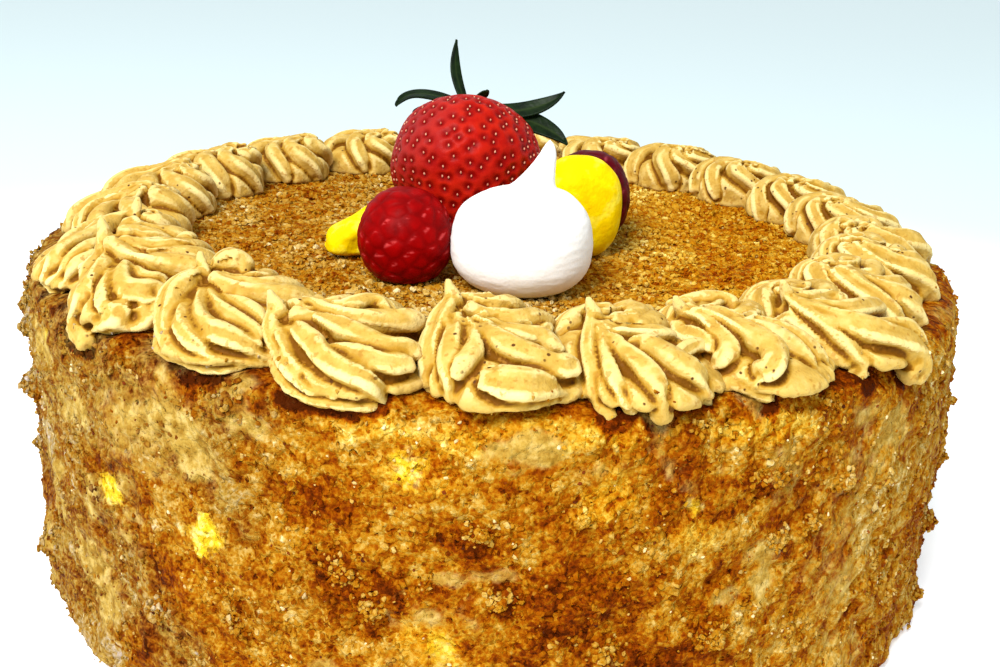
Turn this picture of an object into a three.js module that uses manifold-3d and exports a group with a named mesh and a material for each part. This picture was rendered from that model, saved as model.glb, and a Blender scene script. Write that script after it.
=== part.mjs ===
// A whole round krantz cake: a crumb-coated body, a border of piped cream dollops and a cluster of fruit
// with a meringue kiss on top. Millimetres, +Z up, origin at the centre of the flat underside.
import * as THREE from "three";
import { mergeVertices } from "three/addons/utils/BufferGeometryUtils.js";
import Module from "manifold-3d";

const wasm = await Module();
wasm.setup();

const GAP = 0.3;
const MERGE_DISTANCE = 1e-4;
const UP = new THREE.Vector3(0, 0, 1);
const { degToRad, lerp, smoothstep } = THREE.MathUtils;

// Cake body
const CAKE_RADIUS = 104;
const CAKE_HEIGHT = 73;
const CAKE_COLUMNS = 60;
const WALL_ROWS = 9;
const DISC_RINGS = 3;
const RIM_ROUNDING = 3.5;
const FOOT_ROUNDING = 2.5;
const WALL_LUMP = 0.9;
const DISC_LUMP = 0.5;

// Crumb clumps on the wall: crags that break its outline, as [degrees, height, radius], and an even spread
const CRAGS = [
  [-158, 65, 3.6], [-157, 47.7, 4.2], [-151, 15.2, 4.2], [-23, 24.4, 4], [-22, 6, 3.6], [-78, 27.3, 3.2],
];
const CLUMP_COUNT = 18;
const CLUMP_RADIUS = [2.0, 3.4];
const CLUMP_SINK = 0.25;
const CLUMP_STRETCH = [0.85, 1.1, 0.9];
const CLUMP_MARGIN = 6;
const EVEN_SPREAD = [0.7548777, 0.5698403];

// Piped border: one dollop leans in and along the ring, and its ridges fan out from its tip
const DOLLOP_COUNT = 23;
const DOLLOP_START = degToRad(-173.3);
const DOLLOP_CROWDING = 0.1;
const DOLLOP_CROWDED_AT = degToRad(-20);
const DOLLOP_RING_RADIUS = 87;
const DOLLOP_RING_CENTRE = [1, -1.5];
const DOLLOP_SWELL = 0.05;
const DOLLOP_SWOLLEN_AT = degToRad(-70);
const DOLLOP = { long: 17.8, wide: 15, tall: 11.2, leanIn: -8, leanAlong: -8.4, twist: -0.8 };
const DOLLOP_UNEVENNESS = { long: 0.03, wide: 0.06, tall: 0.08, leanIn: 0.1, leanAlong: 0.1, twist: 0.3 };
const DOLLOP_TIPS = {
  1: { leanIn: -5.5, leanAlong: -8 },
  2: { leanIn: 1, leanAlong: -14 },
  3: { leanIn: -1, leanAlong: -12 },
  4: { leanIn: 0, leanAlong: -14 },
  5: { leanIn: -7.5, leanAlong: -9.5 },
  6: { leanIn: -5, leanAlong: -7 },
  7: { leanIn: -6.5, leanAlong: -11 },
  8: { leanIn: -4, leanAlong: -9.5 },
};
const DOLLOP_PROFILE = [[0, 0], [0.92, 0], [1, 0.22], [0.94, 0.46], [0.7, 0.64], [0.32, 0.78], [0, 1]];
const RIDGES = 8;
const RIDGE_COLUMNS = 3;
const RIDGE_SHARPNESS = 1.3;
const VALLEY_DEPTH = 0.27;
const VALLEY_START = 0.6;

// Strawberry, tipped back on its side with the calyx behind
const STRAWBERRY = { x: -7.4, y: -17.3, length: 32.5, width: 34.8, lean: [-0.01, 0.54, 0.84] };
const STRAWBERRY_PROFILE = [
  [0, 0], [0.15, 0.03], [0.36, 0.26], [0.495, 0.53], [0.43, 0.83], [0.27, 0.98], [0.12, 1], [0, 0.95],
];
const STRAWBERRY_ROWS = 11;
const STRAWBERRY_COLUMNS = 20;

// Sepals in the calyx's frame: each one's middle and tip from the button, its width and the way its face looks
const SEPALS = [
  { middle: [-2.9, -0.6, 7.7], tip: [-3.2, -1.8, 15.6], width: 2.9, facing: [0.6, -0.8, -0.2] },
  { middle: [-10.3, -0.4, 2.5], tip: [-16.5, -1.8, -0.9], width: 4, facing: [0, -0.8, 0.6] },
  { middle: [-8.6, 3, 1], tip: [-12.6, 3.6, -1], width: 3.6, facing: [0, -0.6, 0.8] },
  { middle: [3.2, -3.4, 1.2], tip: [4.3, -5.5, 1.4], width: 2.4, facing: [0, 0, 1] },
  { middle: [12.6, 0.4, -0.2], tip: [22.3, -1, 3.6], width: 4.6, facing: [0, -0.97, 0.25] },
  { middle: [14.1, 1, -2.6], tip: [23.4, 0.5, -7.6], width: 5.6, facing: [0, -1, 0.2] },
  { middle: [4, 8, 2.4], tip: [6, 16, 2], width: 5, facing: [0, 0, 1] },
  { middle: [-6, 7, 2], tip: [-10, 13, 0.5], width: 5, facing: [0, 0, 1] },
];
const SEPAL = { tip: 0.35, thickness: 0.8, trough: 0.8 };
const SEPAL_OUTLINE = { root: 0.9, belly: 1.46, end: 1.04 };
const BUTTON_PROFILE = [[0, -2.2], [1.2, -2.2], [3.4, 0], [2.2, 1.4], [0, 1.6]];
const BUTTON_COLUMNS = 10;

// Raspberries, standing on their open ends
const RASPBERRY_FRONT = { x: -19, y: -35, width: 19.8, height: 18.5, turn: 0.4 };
const RASPBERRY_BACK = { x: 21.2, y: 4.2, width: 19.5, height: 20, turn: 1.1 };
const DRUPELET_COLUMNS = 11;
const DRUPELET_ROWS = 7;
const DRUPELET_BULGE = 0.13;
const RASPBERRY_TAPER = 0.12;
const RASPBERRY_FOOT = 0.86;

// Meringue kiss, in half widths and shoulder heights
const MERINGUE = { x: 5, y: -38.5, width: 29, shoulder: 21, tipShift: [4.6, 0.8], bend: [0.72, 1.4] };
const MERINGUE_PROFILE = [
  [0, 0], [0.6, 0], [0.93, 0.18], [1, 0.45], [0.9, 0.73], [0.62, 0.9], [0.34, 0.98], [0.2, 1.14],
  [0.085, 1.36], [0, 1.44],
];
const MERINGUE_ROWS = 13;
const MERINGUE_COLUMNS = 24;

// Cut mango pieces: a low softness is boxier, and the taper makes one end taller
const MANGO_RIGHT = { x: 18.3, y: -13.2, width: 18.6, depth: 12, height: 22.4, turn: 0.35 };
const MANGO_RIGHT_CUT = { softness: 0.8, taper: -0.05 };
const MANGO_LEFT = { x: -31, y: -18.5, width: 14.5, depth: 12, height: 9.8, turn: 0.4 };
const MANGO_LEFT_CUT = { softness: 0.7, taper: 0.25 };
const MANGO_FOOT = 0.94;
const MANGO_COLUMNS = 14;
const MANGO_ROWS = 8;

const FINISHES = {
  crumb: { color: 0xb9772a, roughness: 0.9 },
  cream: { color: 0xe3c083, roughness: 0.55 },
  strawberry: { color: 0xb81a16, roughness: 0.35 },
  leaf: { color: 0x24401a, roughness: 0.6 },
  raspberry: { color: 0x9c0a16, roughness: 0.4 },
  mango: { color: 0xf6c40a, roughness: 0.45 },
  meringue: { color: 0xf6f2ea, roughness: 0.8 },
};

/** A repeatable stream of numbers from 0 to 1. */
function seededStream(seed) {
  let state = seed;
  return () => {
    state = (state + 0x6d2b79f5) | 0;
    let mixed = Math.imul(state ^ (state >>> 15), 1 | state);
    mixed = (mixed + Math.imul(mixed ^ (mixed >>> 7), 61 | mixed)) ^ mixed;
    return ((mixed ^ (mixed >>> 14)) >>> 0) / 2 ** 32;
  };
}

/** The geometry with nothing but merged positions, each one moved by the function. */
function shaped(geometry, move = (point) => point) {
  const bare = new THREE.BufferGeometry();
  bare.setAttribute("position", geometry.getAttribute("position").clone());
  bare.setIndex(geometry.index?.clone() ?? null);
  const merged = mergeVertices(bare, MERGE_DISTANCE);
  const positions = merged.getAttribute("position");
  for (let i = 0; i < positions.count; i++) {
    const moved = move(new THREE.Vector3().fromBufferAttribute(positions, i));
    positions.setXYZ(i, moved.x, moved.y, moved.z);
  }
  return merged;
}

/** A closed geometry as a solid that can be joined and cut, without the flat triangles at its poles. */
function solidOf(geometry) {
  const bare = shaped(geometry);
  const corners = Array.from(bare.index.array);
  const kept = corners.filter((_, i) => {
    const [a, b, c] = corners.slice(i - (i % 3), i - (i % 3) + 3);
    return a !== b && b !== c && c !== a;
  });
  return new wasm.Manifold(
    new wasm.Mesh({
      numProp: 3,
      vertProperties: new Float32Array(bare.getAttribute("position").array),
      triVerts: new Uint32Array(kept),
    }),
  );
}

/** The largest body of a solid as a geometry. Loose scraps of a cut are dropped. */
function geometryOf(solid) {
  const largest = solid.decompose().reduce((best, body) => (body.volume() > best.volume() ? body : best));
  const mesh = largest.getMesh();
  const geometry = new THREE.BufferGeometry();
  geometry.setAttribute("position", new THREE.BufferAttribute(mesh.vertProperties, mesh.numProp));
  geometry.setIndex(new THREE.BufferAttribute(mesh.triVerts, 1));
  return geometry;
}

/** A body turned about +Z from [radius, height] pairs that run from its foot to its top. */
function turned(profile, columns) {
  const points = profile.map(([radius, height]) => new THREE.Vector2(radius, height));
  return new THREE.LatheGeometry(points, columns).rotateX(Math.PI / 2);
}

/** A smooth profile of rows + 1 points through a few [radius, height] pairs. */
function smoothProfile(pairs, rows, radiusScale, heightScale) {
  const scale = new THREE.Vector2(radiusScale, heightScale);
  const knots = pairs.map((pair) => new THREE.Vector2(...pair).multiply(scale));
  return new THREE.SplineCurve(knots).getSpacedPoints(rows).map(({ x, y }) => [Math.max(0, x), y]);
}

/** A mesh of one sub-part with its finish. */
function subPart(name, geometry, finish) {
  geometry.computeVertexNormals();
  const material = new THREE.MeshStandardMaterial({ ...FINISHES[finish], metalness: 0 });
  const mesh = new THREE.Mesh(geometry, material);
  mesh.name = name;
  return mesh;
}

/** Sets a topping on the open disc so that its lowest point just clears the crumb. */
function rested(topping, { x, y }) {
  const lowest = new THREE.Box3().setFromObject(topping, true).min.z;
  topping.position.set(x, y, CAKE_HEIGHT + DISC_LUMP + GAP - lowest);
  return topping;
}

/** Slow bumps round the wall, from -1 to 1, that meet themselves after a full turn. */
function wallLump(angle, height) {
  const broad = 0.4 * Math.sin(7 * angle + 0.11 * height);
  const middle = 0.35 * Math.sin(13 * angle - 0.17 * height + 1.3);
  const small = 0.25 * Math.sin(19 * angle + 0.31 * height + 2.1);
  return broad + middle + small;
}

/** Slow bumps on the open disc, from -1 to 1. */
function discLump(x, y) {
  return 0.5 * Math.sin(0.19 * x + 0.4) * Math.cos(0.23 * y) + 0.5 * Math.sin(0.31 * (x - y) + 1.7);
}

/** The outline of the body from the centre of its foot, up the wall, round the rim and in over the disc. */
function cakeProfile(wallTop, discRadius) {
  const wallBottom = FOOT_ROUNDING;
  const profile = [[0, 0], [CAKE_RADIUS - FOOT_ROUNDING, 0]];
  for (let row = 0; row <= WALL_ROWS; row++) {
    profile.push([CAKE_RADIUS, lerp(wallBottom, wallTop, row / WALL_ROWS)]);
  }
  for (const turn of [degToRad(45), degToRad(90)]) {
    const inset = RIM_ROUNDING * (1 - Math.cos(turn));
    profile.push([CAKE_RADIUS - inset, wallTop + RIM_ROUNDING * Math.sin(turn)]);
  }
  for (let ring = DISC_RINGS; ring >= 0; ring--) {
    profile.push([(discRadius * ring) / DISC_RINGS, CAKE_HEIGHT]);
  }
  return profile;
}

/** One crumb clump, partly sunk in the wall. */
function crumbClump(angle, height, radius, draw) {
  const reach = CAKE_RADIUS + WALL_LUMP * wallLump(angle, height) - radius * CLUMP_SINK;
  const clump = new THREE.IcosahedronGeometry(radius, 0);
  clump.rotateX(draw() * Math.PI).rotateY(draw() * Math.PI).scale(...CLUMP_STRETCH);
  return solidOf(clump.translate(reach, 0, height).rotateZ(angle));
}

/** The crags and the other large clumps, which are spread evenly over the wall. */
function crumbClumps(wallTop) {
  const draw = seededStream(17);
  const crags = CRAGS.map(([turn, height, radius]) => crumbClump(degToRad(turn), height, radius, draw));
  const spread = Array.from({ length: CLUMP_COUNT }, (_, index) => {
    const [turnShare, riseShare] = EVEN_SPREAD.map((step) => ((index + 1) * step) % 1);
    const height = lerp(CLUMP_MARGIN, wallTop - CLUMP_MARGIN, riseShare);
    return crumbClump(turnShare * 2 * Math.PI, height, lerp(...CLUMP_RADIUS, draw()), draw);
  });
  return [...crags, ...spread];
}

/** The crumb-coated body: flat below and under the border, uneven on the wall and on the open disc. */
function cakeBody() {
  const wallTop = CAKE_HEIGHT - RIM_ROUNDING;
  const discRadius = DOLLOP_RING_RADIUS - DOLLOP.long;
  const geometry = shaped(turned(cakeProfile(wallTop, discRadius), CAKE_COLUMNS), (point) => {
    const radius = Math.hypot(point.x, point.y);
    const onWall = point.z > FOOT_ROUNDING / 2 && point.z < wallTop + GAP;
    const onDisc = point.z > wallTop && radius < discRadius - GAP;
    if (onWall) {
      const lump = WALL_LUMP * wallLump(Math.atan2(point.y, point.x), point.z);
      const stretch = 1 + lump / radius;
      point.multiply(new THREE.Vector3(stretch, stretch, 1));
    }
    if (onDisc) point.z += DISC_LUMP * discLump(point.x, point.y);
    return point;
  });
  const body = crumbClumps(wallTop).reduce((joined, clump) => joined.add(clump), solidOf(geometry));
  return subPart("cake_body", geometryOf(body), "crumb");
}

/** Where a dollop stands round the cake. Hand piping crowds them a little on one side. */
function dollopAngle(index) {
  const even = DOLLOP_START + (index / DOLLOP_COUNT) * 2 * Math.PI;
  return even - DOLLOP_CROWDING * Math.sin(even - DOLLOP_CROWDED_AT);
}

/** The sizes of one dollop, each a little off the mean as hand piping leaves it. */
function dollopSizes(index) {
  const draw = seededStream(100 + index);
  const sizes = {};
  for (const [name, mean] of Object.entries(DOLLOP)) {
    sizes[name] = mean * (1 + DOLLOP_UNEVENNESS[name] * (2 * draw() - 1));
  }
  Object.assign(sizes, DOLLOP_TIPS[index]);
  sizes.long *= 1 + DOLLOP_SWELL * Math.cos(dollopAngle(index) - DOLLOP_SWOLLEN_AT);
  sizes.phase = draw() * Math.PI;
  return sizes;
}

/** How deep the cream lies at an angle round a dollop: 0 along a ridge, 1 in the valley between two. */
function valleyShare(angle) {
  return 1 - (0.5 + 0.5 * Math.cos(RIDGES * angle)) ** RIDGE_SHARPNESS;
}

/** One dollop in its place on the cake, made larger all round by a margin. */
function dollop(index, margin = 0) {
  const { long, wide, tall, leanIn, leanAlong, twist, phase } = dollopSizes(index);
  const geometry = shaped(turned(DOLLOP_PROFILE, RIDGES * RIDGE_COLUMNS), (point) => {
    const reach = Math.hypot(point.x, point.y);
    const column = Math.atan2(point.y, point.x);
    const depth = VALLEY_DEPTH * valleyShare(column) * Math.min(1, reach / VALLEY_START);
    const spread = reach * (1 - depth);
    const angle = column + phase + twist * (1 - reach);
    return new THREE.Vector3(
      spread * (long + 2 * margin) * Math.cos(angle) + leanIn * (1 - reach),
      spread * (wide + 2 * margin) * Math.sin(angle) + leanAlong * (1 - reach),
      Math.max(0, point.z * (1 - depth)) * (tall + 3 * margin) - margin,
    );
  });
  geometry.translate(DOLLOP_RING_RADIUS, 0, CAKE_HEIGHT + GAP).rotateZ(dollopAngle(index));
  return solidOf(geometry.translate(...DOLLOP_RING_CENTRE, 0));
}

/** The piped border. Each dollop presses into the one piped before it. */
function pipedBorder() {
  return Array.from({ length: DOLLOP_COUNT }, (_, index) => {
    const next = (index + 1) % DOLLOP_COUNT;
    const number = String(index + 1).padStart(2, "0");
    const pressed = dollop(index).subtract(dollop(next, GAP));
    return subPart(`cream_dollop_${number}`, geometryOf(pressed), "cream");
  });
}

/** The strawberry's flesh in its own frame: tip at the foot, a shallow dent for the calyx at the top. */
function strawberryFlesh() {
  const profile = smoothProfile(STRAWBERRY_PROFILE, STRAWBERRY_ROWS, STRAWBERRY.width, STRAWBERRY.length);
  return turned(profile, STRAWBERRY_COLUMNS);
}

/** One sepal in the calyx's frame: a thin strip along a curve that narrows to a tip, with a trough along it. */
function sepal({ middle, tip, width, facing }) {
  const end = new THREE.Vector3(...tip);
  const pull = new THREE.Vector3(...middle).multiplyScalar(2).addScaledVector(end, -0.5);
  const curve = new THREE.QuadraticBezierCurve3(new THREE.Vector3(), pull, end);
  const face = new THREE.Vector3(...facing);
  const strip = shaped(new THREE.BoxGeometry(1, 1, 1, 5, 2, 1), (point) => {
    const along = point.x + 0.5;
    const outline = (SEPAL_OUTLINE.root + SEPAL_OUTLINE.belly * along) * (SEPAL_OUTLINE.end - along);
    const forward = curve.getTangent(along);
    const side = new THREE.Vector3().crossVectors(face, forward).normalize();
    const normal = new THREE.Vector3().crossVectors(forward, side);
    return curve
      .getPoint(along)
      .addScaledVector(side, point.y * (SEPAL.tip + width * outline))
      .addScaledVector(normal, point.z * SEPAL.thickness + SEPAL.trough * Math.abs(point.y));
  });
  return solidOf(strip);
}

/** The calyx on top of the strawberry: sepals round a small button, clear of the flesh. */
function calyx(flesh) {
  const button = solidOf(turned(BUTTON_PROFILE, BUTTON_COLUMNS));
  const joined = SEPALS.map(sepal).reduce((solid, leaf) => solid.add(leaf), button);
  const onTop = geometryOf(joined).translate(0, 0, STRAWBERRY.length + SEPAL.thickness / 2);
  const clearance = 1 + (2 * GAP) / STRAWBERRY.width;
  return geometryOf(solidOf(onTop).subtract(solidOf(flesh.clone().scale(clearance, clearance, clearance))));
}

/** The strawberry and its calyx, tipped back together. */
function strawberry() {
  const flesh = strawberryFlesh();
  const berry = new THREE.Group();
  berry.add(subPart("strawberry", geometryOf(solidOf(flesh)), "strawberry"));
  berry.add(subPart("strawberry_calyx", calyx(flesh), "leaf"));
  berry.quaternion.setFromUnitVectors(UP, new THREE.Vector3(...STRAWBERRY.lean).normalize());
  return rested(berry, STRAWBERRY);
}

/** A raspberry: a rounded cone of drupelets in staggered rows. */
function raspberry(name, size) {
  const ball = new THREE.SphereGeometry(1, DRUPELET_COLUMNS * 2, DRUPELET_ROWS * 2).rotateX(Math.PI / 2);
  const geometry = shaped(ball, (point) => {
    const row = (Math.acos(THREE.MathUtils.clamp(point.z, -1, 1)) / Math.PI) * DRUPELET_ROWS;
    const stagger = (Math.floor(row) % 2) * Math.PI;
    const round = 0.55 + 0.45 * Math.cos(DRUPELET_COLUMNS * Math.atan2(point.y, point.x) + stagger);
    const bump = Math.abs(Math.sin(row * Math.PI)) * round;
    const girth = 1 - RASPBERRY_TAPER * Math.max(0, point.z);
    const swell = ((1 + DRUPELET_BULGE * (bump - 0.7)) * girth * size.width) / 2;
    const rise = (Math.max(point.z, -RASPBERRY_FOOT) * size.height) / (1 + RASPBERRY_FOOT);
    return new THREE.Vector3(point.x * swell, point.y * swell, rise);
  });
  const berry = subPart(name, geometryOf(solidOf(geometry)), "raspberry");
  berry.rotation.z = size.turn;
  return rested(berry, size);
}

/** The meringue kiss: a fat drop drawn up into a point that bends to one side. */
function meringueKiss() {
  const { width, shoulder, tipShift, bend } = MERINGUE;
  const profile = smoothProfile(MERINGUE_PROFILE, MERINGUE_ROWS, width / 2, shoulder);
  const geometry = shaped(turned(profile, MERINGUE_COLUMNS), (point) => {
    const share = smoothstep(point.z / shoulder, ...bend);
    const shift = new THREE.Vector3(tipShift[0] * share, tipShift[1] * share, 0);
    return new THREE.Vector3(point.x, point.y, Math.max(0, point.z)).add(shift);
  });
  return rested(subPart("meringue_kiss", geometryOf(solidOf(geometry)), "meringue"), MERINGUE);
}

/** A cut piece of mango: a block with soft edges and a flat foot. */
function mangoPiece(name, size, { softness, taper }) {
  const squared = (value) => Math.sign(value) * Math.abs(value) ** softness;
  const ball = new THREE.SphereGeometry(1, MANGO_COLUMNS, MANGO_ROWS).rotateX(Math.PI / 2);
  const geometry = shaped(ball, (point) => {
    const endHeight = size.height * (1 + taper * squared(point.x));
    const rise = (Math.max(squared(point.z), -MANGO_FOOT) + MANGO_FOOT) / (1 + MANGO_FOOT);
    const across = (squared(point.x) * size.width) / 2;
    const back = (squared(point.y) * size.depth) / 2;
    return new THREE.Vector3(across, back, rise * endHeight);
  });
  const piece = subPart(name, geometryOf(solidOf(geometry)), "mango");
  piece.rotation.z = size.turn;
  return rested(piece, size);
}

const cake = new THREE.Group();
cake.name = "krantz_cake";
cake.add(cakeBody());
cake.add(...pipedBorder());
cake.add(strawberry());
cake.add(raspberry("raspberry_front", RASPBERRY_FRONT));
cake.add(raspberry("raspberry_back", RASPBERRY_BACK));
cake.add(meringueKiss());
cake.add(mangoPiece("mango_right", MANGO_RIGHT, MANGO_RIGHT_CUT));
cake.add(mangoPiece("mango_left", MANGO_LEFT, MANGO_LEFT_CUT));

export default cake;
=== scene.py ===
"""Looks of a whole round krantz cake: crumb coat, piped cream border, fruit and a meringue kiss.

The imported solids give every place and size. Lengths are metres, the photographed side is -Y and +Z is up.
"""

from __future__ import annotations

import itertools
import logging
import math
from dataclasses import dataclass
from enum import Enum

import bpy
import numpy as np
from mathutils import Matrix, Vector


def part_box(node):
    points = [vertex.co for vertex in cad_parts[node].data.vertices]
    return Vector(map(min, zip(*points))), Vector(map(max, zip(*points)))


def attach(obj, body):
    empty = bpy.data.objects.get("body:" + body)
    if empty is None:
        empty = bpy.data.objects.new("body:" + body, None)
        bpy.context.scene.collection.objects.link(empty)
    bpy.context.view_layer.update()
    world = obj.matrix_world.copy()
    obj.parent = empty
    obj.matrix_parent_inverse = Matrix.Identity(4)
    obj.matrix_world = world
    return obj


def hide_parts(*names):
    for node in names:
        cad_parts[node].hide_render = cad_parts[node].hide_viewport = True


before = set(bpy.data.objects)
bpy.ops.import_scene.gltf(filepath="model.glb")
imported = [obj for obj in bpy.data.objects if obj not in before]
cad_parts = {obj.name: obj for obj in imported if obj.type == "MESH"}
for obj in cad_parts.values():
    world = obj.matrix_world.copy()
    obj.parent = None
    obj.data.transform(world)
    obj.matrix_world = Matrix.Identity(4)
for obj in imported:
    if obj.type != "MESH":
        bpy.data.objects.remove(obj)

LOG = logging.getLogger("krantz_cake")
MM = 0.001
# Numbers that scramble a place into a random height.
CELL_PRIMES = np.array([73856093, 19349663, 83492791])
SEED_PRIME = 7919
SCRAMBLES = ((11, 2654435761), (15, 2246822519))
# Steps that spread points evenly, round an axis and over a square.
GOLDEN_TURN = math.pi * (3.0 - math.sqrt(5.0))
EVEN_STEPS = (0.7548777, 0.5698403)
UPWARD = (0.0, 0.0, 1.0)
Array = np.ndarray
Material = bpy.types.Material
Piece = bpy.types.Object
Socket = bpy.types.NodeSocket
Place = tuple[float, float, float]
Outline = tuple[tuple[float, float], ...]
Colour = tuple[float, float, float]
Stops = tuple[tuple[float, Colour], ...]


class Slot(Enum):
    """Names of material slots."""

    CRUMB = "crumb_coat"
    CREAM = "cream"
    STRAWBERRY = "strawberry_flesh"
    LEAF = "leaf"
    RASPBERRY = "raspberry_flesh"
    MANGO = "mango_flesh"
    MERINGUE = "meringue"


CRUMB_TONES: Stops = (
    (0.00, (0.055, 0.008, 0.0002)),
    (0.18, (0.155, 0.023, 0.0002)),
    (0.36, (0.262, 0.066, 0.0004)),
    (0.54, (0.362, 0.156, 0.006)),
    (0.72, (0.455, 0.268, 0.048)),
    (0.86, (0.545, 0.385, 0.14)),
    (1.00, (0.78, 0.63, 0.34)),
)


# Shaping by hand


def blend(low: float | Array, high: float | Array, share: Array) -> Array:
    """A value part of the way from low to high."""
    return low + (high - low) * share


def ease(value: Array, low: float, high: float) -> Array:
    """0 below low, 1 above high, and a smooth rise between them."""
    share = np.clip((value - low) / (high - low), 0.0, 1.0)
    return share * share * (3.0 - 2.0 * share)


def bumps(points: Array, size: float, seed: int) -> Array:
    """Smooth hills and hollows in space.

    Args:
        points: Places, one row each.
        size: Width of one hill.
        seed: Which hills.

    Returns:
        A height from -1 to 1 for each place.
    """
    scaled = points / size + 17.31 * seed
    cell = np.floor(scaled).astype(np.int64)
    share = scaled - cell
    fade = share**3 * (share * (share * 6.0 - 15.0) + 10.0)
    total = np.zeros(len(points))
    for corner in itertools.product((0, 1), repeat=3):
        mixed = (cell + corner) @ CELL_PRIMES + seed * SEED_PRIME
        for shift, factor in SCRAMBLES:
            mixed = ((mixed ^ (mixed >> shift)) * factor) & 0xFFFFFFFF
        height = ((mixed ^ (mixed >> 13)) & 0xFFFF) / 32767.5 - 1.0
        total += height * np.where(np.array(corner, bool), fade, 1.0 - fade).prod(1)
    return total


def hills(points: Array, *layers: tuple[float, float, int]) -> Array:
    """Layers of bumps added up.

    Args:
        points: Places, one row each.
        layers: The height, the width in mm and the seed of each layer.

    Returns:
        A height for each place.
    """
    return sum(height * bumps(points, width * MM, seed) for height, width, seed in layers)


def round_at(reach: float | Array, turn: Array, height: float | Array) -> Array:
    """Places round the upright axis, one row each."""
    return np.column_stack(np.broadcast_arrays(reach * np.cos(turn), reach * np.sin(turn), height))


def turn_of(places: Array) -> Array:
    """The angle of each place round the upright axis."""
    return np.arctan2(places[:, 1], places[:, 0])


def reach_of(places: Array) -> Array:
    """How far each place lies from the upright axis."""
    return np.hypot(places[:, 0], places[:, 1])


def turn_apart(turn: Array, middle: float) -> Array:
    """Angles measured from a middle, up to half a turn either way."""
    return (turn - middle + math.pi) % (2.0 * math.pi) - math.pi


def unit(rows: Array) -> Array:
    """Rows brought to the length 1."""
    return rows / np.linalg.norm(rows, axis=1, keepdims=True)


def spread_on_ball(count: int) -> Array:
    """Evenly spread directions, in the spiral order in which a plant sets its seeds.

    Args:
        count: How many.

    Returns:
        One direction per row.
    """
    rank = (np.arange(count) + 0.5) / count
    height = 1.0 - 2.0 * rank
    return round_at(np.sqrt(1.0 - height**2), np.arange(count) * GOLDEN_TURN, height)


def rows_of(values: bpy.types.bpy_prop_collection, field: str) -> Array:
    """Reads a field of three numbers.

    Args:
        values: What has the field.
        field: Its name.

    Returns:
        One row per value.
    """
    flat = np.empty(len(values) * 3)
    values.foreach_get(field, flat)
    return flat.reshape(-1, 3)


def points_of(piece: Piece) -> Array:
    """The places of a mesh's vertices, one row each."""
    return rows_of(piece.data.vertices, "co")


def set_points(piece: Piece, points: Array) -> None:
    """Moves a mesh's vertices to new places."""
    piece.data.vertices.foreach_set("co", points.astype(np.float32).ravel())
    piece.data.update()


def paint(piece: Piece, name: str, values: Array) -> None:
    """Stores one number per vertex for the piece's finish to read."""
    layer = piece.data.attributes.new(name, "FLOAT", "POINT")
    layer.data.foreach_set("value", values.astype(np.float32))


def normals_of(piece: Piece) -> Array:
    """The outward directions at a mesh's vertices."""
    return rows_of(piece.data.vertex_normals, "vector")


def hollows(piece: Piece, rounds: int) -> Array:
    """How far each vertex lies below the mean of its surroundings. Crests have depths below 0.

    Args:
        piece: The mesh.
        rounds: How many vertices away the surroundings reach.

    Returns:
        One depth per vertex.
    """
    ends = np.empty(len(piece.data.edges) * 2, np.int32)
    piece.data.edges.foreach_get("vertices", ends)
    first, second = ends.reshape(-1, 2).T
    places = points_of(piece)
    many = len(places)
    neighbours = np.bincount(ends, minlength=many)
    mean = places
    for _ in range(rounds):
        totals = [
            np.bincount(first, row[second], many) + np.bincount(second, row[first], many) for row in mean.T
        ]
        mean = np.column_stack(totals) / neighbours[:, None]
    return ((mean - places) * normals_of(piece)).sum(1)


def soften(piece: Piece, rounds: int) -> None:
    """Smooths a piece.

    Args:
        piece: The mesh.
        rounds: How often.
    """
    bpy.context.view_layer.objects.active = piece
    soft = piece.modifiers.new("soften", "SMOOTH")
    soft.factor = 0.5
    soft.iterations = rounds
    bpy.ops.object.modifier_apply(modifier=soft.name)


def ball(name: str, columns: int, rows: int) -> tuple[Piece, Array, Array]:
    """A ball to be shaped.

    Args:
        name: Name of the piece.
        columns: Faces round it.
        rows: Faces from its foot to its top.

    Returns:
        The piece, and for each vertex the angle round the ball and the share of the way from foot to top.
    """
    bpy.ops.object.select_all(action="DESELECT")
    bpy.ops.mesh.primitive_grid_add(x_subdivisions=columns, y_subdivisions=rows, size=2.0)
    piece = bpy.context.object
    piece.name = piece.data.name = name
    east, north = (points_of(piece)[:, :2] * (math.pi, math.pi / 2.0)).T
    set_points(piece, round_at(np.cos(north), east, np.sin(north)))
    bpy.ops.object.mode_set(mode="EDIT")
    bpy.ops.mesh.select_all(action="SELECT")
    bpy.ops.mesh.remove_doubles(threshold=1e-5)
    bpy.ops.object.mode_set(mode="OBJECT")
    places = points_of(piece)
    rise = 1.0 - np.arccos(np.clip(places[:, 2], -1.0, 1.0)) / math.pi
    return piece, turn_of(places), rise


def small_ball() -> tuple[Array, Array]:
    """A ball of few faces to be copied.

    Returns:
        Its corners, and the corner numbers of its triangles.
    """
    bpy.ops.object.select_all(action="DESELECT")
    bpy.ops.mesh.primitive_ico_sphere_add(subdivisions=1, radius=1.0)
    model = bpy.context.object
    corners = points_of(model)
    faces = np.array([list(face.vertices) for face in model.data.polygons])
    bpy.data.objects.remove(model, do_unlink=True)
    return corners, faces


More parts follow.
